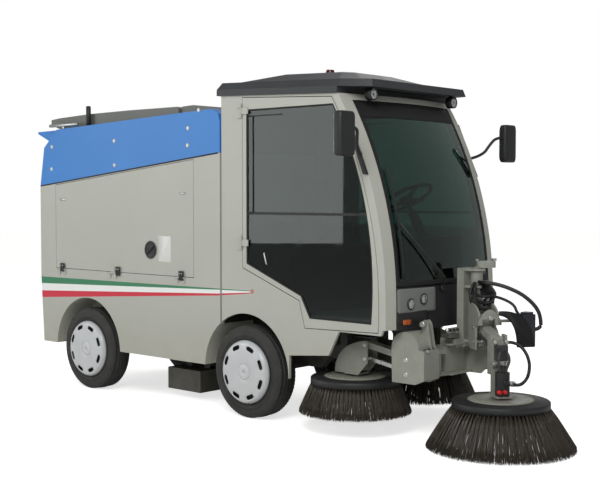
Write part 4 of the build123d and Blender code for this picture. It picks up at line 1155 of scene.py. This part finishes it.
mechanismTrim = {
    "bracketBolts": ((1.340, 0.424, 0.573), (1.385, 0.424, 0.573)), "bolt": (0.013, 0.010),
    "sideCaps": ((0.741, 0.352), (0.741, 0.398)), "sideCapZ": 0.455,
    "frontCaps": (-0.040, -0.004), "frontCapAt": (0.462, 0.350),
    "cap": ((0.001, 0), (0.013, 0), (0.013, 0.021), (0.011, 0.0216), (0.011, 0.030), (0.008, 0.032),
            (0.001, 0.032)),
    "unions": ((0.439, 0.026, 0.392), (0.439, 0.060, 0.392)), "unionR": 0.0115,
    "hose": ((0.250, 0.066, 0.612), (0.275, 0.110, 0.628), (0.330, 0.170, 0.600), (0.400, 0.188, 0.520),
             (0.470, 0.150, 0.440), (0.500, 0.095, 0.398), (0.490, 0.060, 0.392), (0.464, 0.060, 0.392)),
    "hoseR": 0.010, "bendFrom": (0.275, 0.110, 0.60), "bendTo": (0.470, 0.110, 0.60),
}
form = mechanismTrim
for hand, side in hands:
    bolts = [at(x, side * y, z) for x, y, z in form["bracketBolts"]]
    name, body = "bracket_bolts_" + hand, "swing_bracket_" + hand
    boltHeads(name, bolts, (0, 0, 1), *form["bolt"], zinc, body, "zinc_steel")
    caps = [turned(form["cap"], 20, at(x, side * y, form["sideCapZ"])) for x, y in form["sideCaps"]]
    formPiece("side_caps_" + hand, caps, redPlastic, "brush_head_" + hand)
u, z = form["frontCapAt"]
caps = [turned(form["cap"], 20, onBoom(u, v, z), alongBoom) for v in form["frontCaps"]]
formPiece("front_caps", caps, redPlastic, "boom_head")
unions = [turned(unionProfile(form["unionR"]), 6, onBoom(*p), alongBoom) for p in form["unions"]]
formPiece("motor_unions", unions, zinc, "boom_head", smooth=False)
route = boomHoses([form["hose"]], form["hoseR"])
motorHose = formPiece("motor_hose", route, hoseRubber, None)
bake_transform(motorHose)
print("front mechanism finished")


# swing brackets: humped cheeks with a rolled sheet, box, lug ears with their pin, hub
bracketForm = {
    "armY": 0.375, "half": 0.074, "thick": 0.012, "hump": (1.238, 0.581, 0.103),
    "foot": ((1.315, 0.364), (1.383, 0.393), (1.383, 0.573)), "heel": 0.364,
    # ends, middle height and half height of the box behind the cheeks
    "box": (1.345, 1.3825, 0.483, 0.089), "boxOver": 0.0045,
    "earFoot": ((1.368, 0.571), (1.340, 0.730)), "earTop": ((1.340, 0.730), (1.315, 0.755), (1.290, 0.730)),
    "earBack": ((1.296, 0.650), (1.296, 0.641)), "earY": (0.351, 0.313), "earThick": 0.009,
    "link": (0.305, 0.268, 0.475), "linkHalf": (0.025, 0.055, 0.004),
    "hinge": (1.330, 0.245), "hub": (0.028, 0.420, 0.530), "hubPin": (0.010, 0.394, 0.556),
    "earPin": (1.315, 0.337, 0.730), "earBar": (0.011, -0.033, 0.033), "earHead": (0.019, 0.020, 0.052),
    "armPins": (1.245, 0.510, 0.420), "armPin": (0.016, -0.084, 0.084),
}
# the arched head over each brush, its motor, and the turnbuckle on the lower rod
headForm = {
    "arch": ((0.845, 0.584), (0.900, 0.597), (0.924, 0.590), (0.924, 0.456), (0.850, 0.376), (0.655, 0.376),
             (0.655, 0.406)),
    "archTop": ((0.655, 0.406), (0.715, 0.520), (0.845, 0.584)), "plateY": 0.050, "plateThick": 0.008,
    "floor": (0.733, 0.849, 0.376), "floorHalf": (0.056, 0.006), "spindle": (0.015, 0.330, 0.378),
    "wall": (0.856, 0.400, 0.560), "wallHalf": (0.006, 0.050), "brushX": 0.781,
    "pins": (0.902, 0.570, 0.480), "pin": (0.013, -0.060, 0.060),
    "motor": ((0.0485, 0.378, 0.486), (0.034, 0.484, 0.512)),
    # the rod runs from here by this much; the turnbuckle takes this share of it
    "rod": (1.245, 0.420, -0.343, 0.060), "share": (0.30, 0.68), "buckleHalf": (0.0145, 0.0135, 0.003),
    "nutR": 0.017, "nut": 0.012,
}
form = bracketForm
x, z, radius = form["hump"]
turn = np.linspace(0, math.pi, 25)
hump = np.stack([x + radius * np.cos(turn), z + radius * np.sin(turn)], -1)
cheek = np.concatenate([form["foot"], hump, [(x - radius + 0.005, form["heel"])]])
ear = np.concatenate([form["earFoot"], bow(*form["earTop"], 9)[1:], form["earBack"]])
arch = np.concatenate([headForm["arch"], bow(*headForm["archTop"], 14)[1:-1]])
sideways = (0, 1, 0)
for hand, side in hands:
    form, body = bracketForm, "swing_bracket_" + hand
    y = side * form["armY"]
    forms = [slab([at(x, y + k * form["half"], z) for x, z in cheek], form["thick"]) for k in (-1, 1)]
    sheet = [at(x, y, z) for x, z in hump[:13] - [0, 0.003]]
    forms.append(sweep(sheet, roundRect(0.003, form["half"], 0.001), lean=[[[0, 1.0, 0]]]))
    start, end, z, halfZ = form["box"]
    forms.append(block(at(start, y, z), at(end, y, z), form["half"] + form["boxOver"], halfZ, 0.004))
    forms += [slab([at(x, side * d, z) for x, z in ear], form["earThick"]) for d in form["earY"]]
    hingeX, hingeY = form["hinge"]
    start, end, z = form["link"]
    forms.append(block(at(hingeX, side * start, z), at(hingeX, side * end, z), *form["linkHalf"]))
    hinge = at(hingeX, side * hingeY, 0)
    forms += [can(*form["hub"], hinge), can(*form["hubPin"], hinge)]
    piece = formPiece("humped_bracket_" + hand, forms, enamel, body, smooth=False)
    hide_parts(body)
    x, d, z = form["earPin"]
    lug = at(x, side * d, z)
    pins = [can(*form["earBar"], lug, sideways), can(*form["earHead"], lug, (0, side, 0), 0.004)]
    x, *heights = form["armPins"]
    pins += [can(*form["armPin"], at(x, y, z), sideways, 0.003) for z in heights]
    formPiece("bracket_pins_" + hand, pins, zinc, body, smooth=False)
    form, body = headForm, "brush_head_" + hand
    x, z, runX, runZ = form["rod"]
    low, high = (at(x + runX * t, y, z + runZ * t) for t in form["share"])
    buckle = [block(low, high, *form["buckleHalf"]), can(form["nutR"], -form["nut"], 0.0, low, high - low)]
    buckle.append(can(form["nutR"], 0.0, form["nut"], high, high - low))
    formPiece("turnbuckle_" + hand, buckle, zinc, "arm_rod_" + hand, smooth=False)
    plates = [slab([at(x, y + k * form["plateY"], z) for x, z in arch], form["plateThick"]) for k in (-1, 1)]
    start, end, z = form["floor"]
    plates.append(block(at(start, y, z), at(end, y, z), *form["floorHalf"]))
    plates.append(can(*form["spindle"], at(form["brushX"], y, 0)))
    x, low, high = form["wall"]
    plates.append(block(at(x, y, low), at(x, y, high), *form["wallHalf"], lean=[[[0, 1.0, 0]]]))
    piece = formPiece("arched_head_" + hand, plates, enamel, body, smooth=False)
    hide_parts(body)
    x, *heights = form["pins"]
    pins = [can(*form["pin"], at(x, y, z), sideways) for z in heights]
    formPiece("head_pins_" + hand, pins, zinc, body, smooth=False)
    motor = [can(*part, at(form["brushX"], y, 0)) for part in form["motor"]]
    formPiece("brush_motor_" + hand, motor, blackPlastic, body, smooth=False)
print("brackets shaped")


# boom: post, cheeks, lever, round-topped plate; a near-black band of painted shade, valve box, motor and
# hoses
boomForm = {
    "post": ((0.0170, 0.586, 1.070), (0.038, 0.613, 0.934), (0.038, 0.957, 1.041)),
    "half": 0.062, "cheekThick": 0.012,
    "cheekFoot": ((0.030, 0.612), (0.060, 0.562), (0.150, 0.562), (0.156, 0.700), (0.205, 0.776)),
    "cheekTop": ((0.205, 0.790), (0.140, 0.836), (0.060, 0.850)), "cheekBack": (0.030, 0.850),
    "web": (0.032, 0.072, 0.730, 0.095),
    # the round-topped plate: its place along the boom, its foot with a notch, its top, its thickness
    "plateU": 0.200, "plateThick": 0.010, "plateTop": ((0.086, 0.740), (0.009, 0.816), (-0.068, 0.740)),
    "plateFoot": ((-0.068, 0.718), (-0.042, 0.718), (-0.042, 0.756), (0.042, 0.756), (0.042, 0.718),
                  (0.086, 0.718)),
    "lever": (0.010, 0.058, 1.085), "leverHalf": (0.038, 0.062, 0.037, 8), "leverThick": (0.042, 0.004),
    "shelf": (0.229, 0.060, 0.198, 0.748), "shelfHalf": (0.025, 0.007),
    "pins": (0.120, 0.700, 0.610), "pin": (0.010, 0.074), "washer": (0.030, 1.0605, 1.0637),
    "leverPin": (0.016, 1.106, 1.122), "leverPinAt": (0.010, 0.112, 0), "nut": (0.012, 1.106, 1.118),
    "stud": (0.015, 0.0, 0.012), "studAt": (0.205, 0.012, 0.764),
    # the near-black band of painted shade: its place along the boom, thickness and eased edge, outer and
    # inner outline
    "guardU": 0.294, "guardThick": (0.012, 0.003),
    "guardOut": ((0.030, 0.815), (0.196, 0.765), (0.262, 0.590)),
    "guardIn": ((0.150, 0.590), (0.118, 0.732), (0.030, 0.788)),
    "valve": (0.250, 0.232, 0.690), "valveReach": 0.034, "valveHalf": (0.042, 0.100, 0.004),
    "knob": (0.100, 0.112), "knobHalf": (0.030, 0.028, 0.003),
    "hose": ((0.039, 0, 0.975), (0.104, 0.0, 0.975), (0.140, 0.052, 0.974), (0.178, 0.130, 0.952),
             (0.230, 0.220, 0.905), (0.246, 0.300, 0.828), (0.248, 0.326, 0.760), (0.248, 0.326, 0.692),
             (0.248, 0.2745, 0.692)),
    "thinHose": ((0.052, 0.030, 0.826), (0.052, 0.030, 0.885), (0.070, 0.110, 0.885), (0.130, 0.200, 0.840),
                 (0.150, 0.212, 0.778), (0.2155, 0.212, 0.778)),
    "hoseR": 0.012, "thinR": 0.009,
    # the tangle's hoses: where the first starts, hangs and reaches out to, and the step to the next
    "tangle": ((0.968, -0.014), (0.800, 0.022), (0.062, 0.013)), "tangleHoses": 6,
    "motorU": 0.427, "motor": ((0.0435, 0.3225, 0.4635), (0.026, 0.4625, 0.500)),
    "motorPort": (0.016, 0.040, 0.058), "motorPortZ": 0.405,
    "headValve": ((0.3825, 0, 0.575), (0.426, 0, 0.575)), "headValveHalf": (0.036, 0.045, 0.004),
    "headHoses": (((0.424, -0.020, 0.600), (0.455, -0.024, 0.596), (0.462, -0.040, 0.550),
                   (0.450, -0.034, 0.505), (0.440, -0.020, 0.462)),
                  ((0.424, 0.016, 0.590), (0.458, 0.020, 0.584), (0.466, 0.030, 0.540),
                   (0.456, 0.020, 0.500), (0.444, 0.010, 0.462))),
    "headHoseR": 0.008,
    "clamps": ((-0.036, 0.640), (0.036, 0.640), (-0.040, 0.506), (0.040, 0.506)), "clampU": 0.3815,
    "clamp": (0.012, 0.0, 0.022), "clampPlate": ((0.3825, 0, 0.506), (0.392, 0, 0.506)),
    "clampHalf": (0.050, 0.016),
}


def acrossAt(u, outline):
    # an outline of (v, z) pairs at one place along the boom
    return np.array([onBoom(u, v, z) for v, z in outline])


form = boomForm
kingpin = onBoom(0, 0, 0)
half = form["half"]
cheek = np.concatenate([form["cheekFoot"], bow(*form["cheekTop"], 10), [form["cheekBack"]]])
forms = [can(*part, kingpin) for part in form["post"]]
forms += [slab([onBoom(u, v, z) for u, z in cheek], form["cheekThick"]) for v in (-half, half)]
start, end, z, halfZ = form["web"]
forms.append(block(onBoom(start, 0, z), onBoom(end, 0, z), half, halfZ))
plate = np.concatenate([form["plateFoot"], bow(*form["plateTop"], 14)])
forms.append(slab(acrossAt(form["plateU"], plate), form["plateThick"]))
u, v, z = form["lever"]
lever = [onBoom(u + a, v + b, z) for a, b in roundRect(*form["leverHalf"])]
forms.append(slab(lever, *form["leverThick"]))
u, start, end, z = form["shelf"]
forms.append(block(onBoom(u, start, z), onBoom(u, end, z), *form["shelfHalf"]))
boomPiece = formPiece("boom_cheeks", forms, enamel, "boom", smooth=False)
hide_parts("boom")
u, *heights = form["pins"]
radius, reach = form["pin"]
pins = [can(radius, -reach, reach, onBoom(u, 0, z), acrossBoom) for z in heights]
pins += [can(*form["washer"], kingpin), can(*form["leverPin"], onBoom(*form["leverPinAt"]))]
pins += [can(*form["nut"], kingpin), can(*form["stud"], onBoom(*form["studAt"]), alongBoom)]
formPiece("boom_pins", pins, zinc, "boom", smooth=False)
# a near-black curved band on the boom's front plate, drawn in the seal rubber: it is painted shade
band = np.concatenate([bow(*form["guardOut"], 20), bow(*form["guardIn"], 20)])
shadeBand = slab(acrossAt(form["guardU"], band), *form["guardThick"])
formPiece("boom_shade_band", [shadeBand], sealRubber, "boom")
u, v, z = form["valve"]
reach = form["valveReach"]
valve = [block(onBoom(u - reach, v, z), onBoom(u + reach, v, z), *form["valveHalf"])]
valve.append(block(*[onBoom(u, v, z + rise) for rise in form["knob"]], *form["knobHalf"]))
formPiece("boom_valve_box", valve, valveBlack, "boom", smooth=False)
# two hoses to the valve box, and a tangle of thin ones that hangs in front of the post
tangle = []
for k in range(form["tangleHoses"]):
    order = (k, (k * 4) % 6, (k * 5) % 6)
    high, low, out = [first + step * number for (first, step), number in zip(form["tangle"], order)]
    tangle.append((
        (0.036, -0.024, high), (out, -0.050 - 0.005 * k, high + 0.006),
        (out + 0.012, -0.078 + 0.006 * k, (high + low) / 2), (out + 0.006, -0.040 + 0.012 * k, low),
        (out, 0.050 + 0.006 * k, low + 0.010), (out - 0.006, 0.088 - 0.005 * k, 0.900),
        (out - 0.012, 0.040, high + 0.010), (0.036, 0.016, high)))
hoses = boomHoses([form["hose"]], form["hoseR"]) + boomHoses([form["thinHose"], *tangle], form["thinR"])
formPiece("boom_hoses", hoses, hoseRubber, "boom")
motor = [can(*part, onBoom(form["motorU"], 0, 0)) for part in form["motor"]]
motor.append(can(*form["motorPort"], onBoom(form["motorU"], 0, form["motorPortZ"]), alongBoom))
formPiece("front_brush_motor", motor, blackPlastic, "boom_head", smooth=False)
# what sits on the head over the motor: a small valve, its hoses, pins and a clamp plate
valve = [block(*[onBoom(*p) for p in form["headValve"]], *form["headValveHalf"])]
valve += boomHoses(form["headHoses"], form["headHoseR"], 12)
formPiece("head_valve", valve, valveBlack, "boom_head", smooth=False)
clamps = [can(*form["clamp"], onBoom(form["clampU"], v, z), alongBoom) for v, z in form["clamps"]]
clamps.append(block(*[onBoom(*p) for p in form["clampPlate"]], *form["clampHalf"]))
formPiece("head_clamps", clamps, zinc, "boom_head", smooth=False)
print("boom shaped")


# open box on the front frame, a plate beside it, and unions over it
frameForm = {
    "boxX": (1.330, 1.376), "boxY": (-0.150, 0.078), "boxZ": (0.396, 0.584), "plateY": 0.090, "thick": 0.008,
    "plate": ((1.325, 0.385), (1.440, 0.385), (1.495, 0.440), (1.495, 0.540), (1.400, 0.548), (1.325, 0.548)),
    "unions": (-0.150, -0.112, -0.074), "unionAt": (1.350, 0.672), "unionR": 0.0130,
    "unionAxis": (1, -0.4, 0.2),
    "rail": ((1.335, -0.165, 0.640), (1.335, -0.060, 0.640)), "railHalf": (0.030, 0.012),
}
form = frameForm
(lowX, highX), (lowY, highY) = form["boxX"], form["boxY"]
outline = ((lowX, lowY), (highX, lowY), (highX, highY), (lowX, highY))
sheets = [slab([at(x, y, z) for x, y in outline], form["thick"]) for z in form["boxZ"]]
sheets.append(slab([at(x, form["plateY"], z) for x, z in form["plate"]], form["thick"]))
formPiece("frame_box", sheets, enamel, "chassis", smooth=False)
x, z = form["unionAt"]
unions = [turned(unionProfile(form["unionR"]), 6, at(x, y, z), form["unionAxis"]) for y in form["unions"]]
unions.append(block(*[at(*p) for p in form["rail"]], *form["railHalf"]))
formPiece("frame_unions", unions, zinc, "chassis", smooth=False)
print("front frame finished")
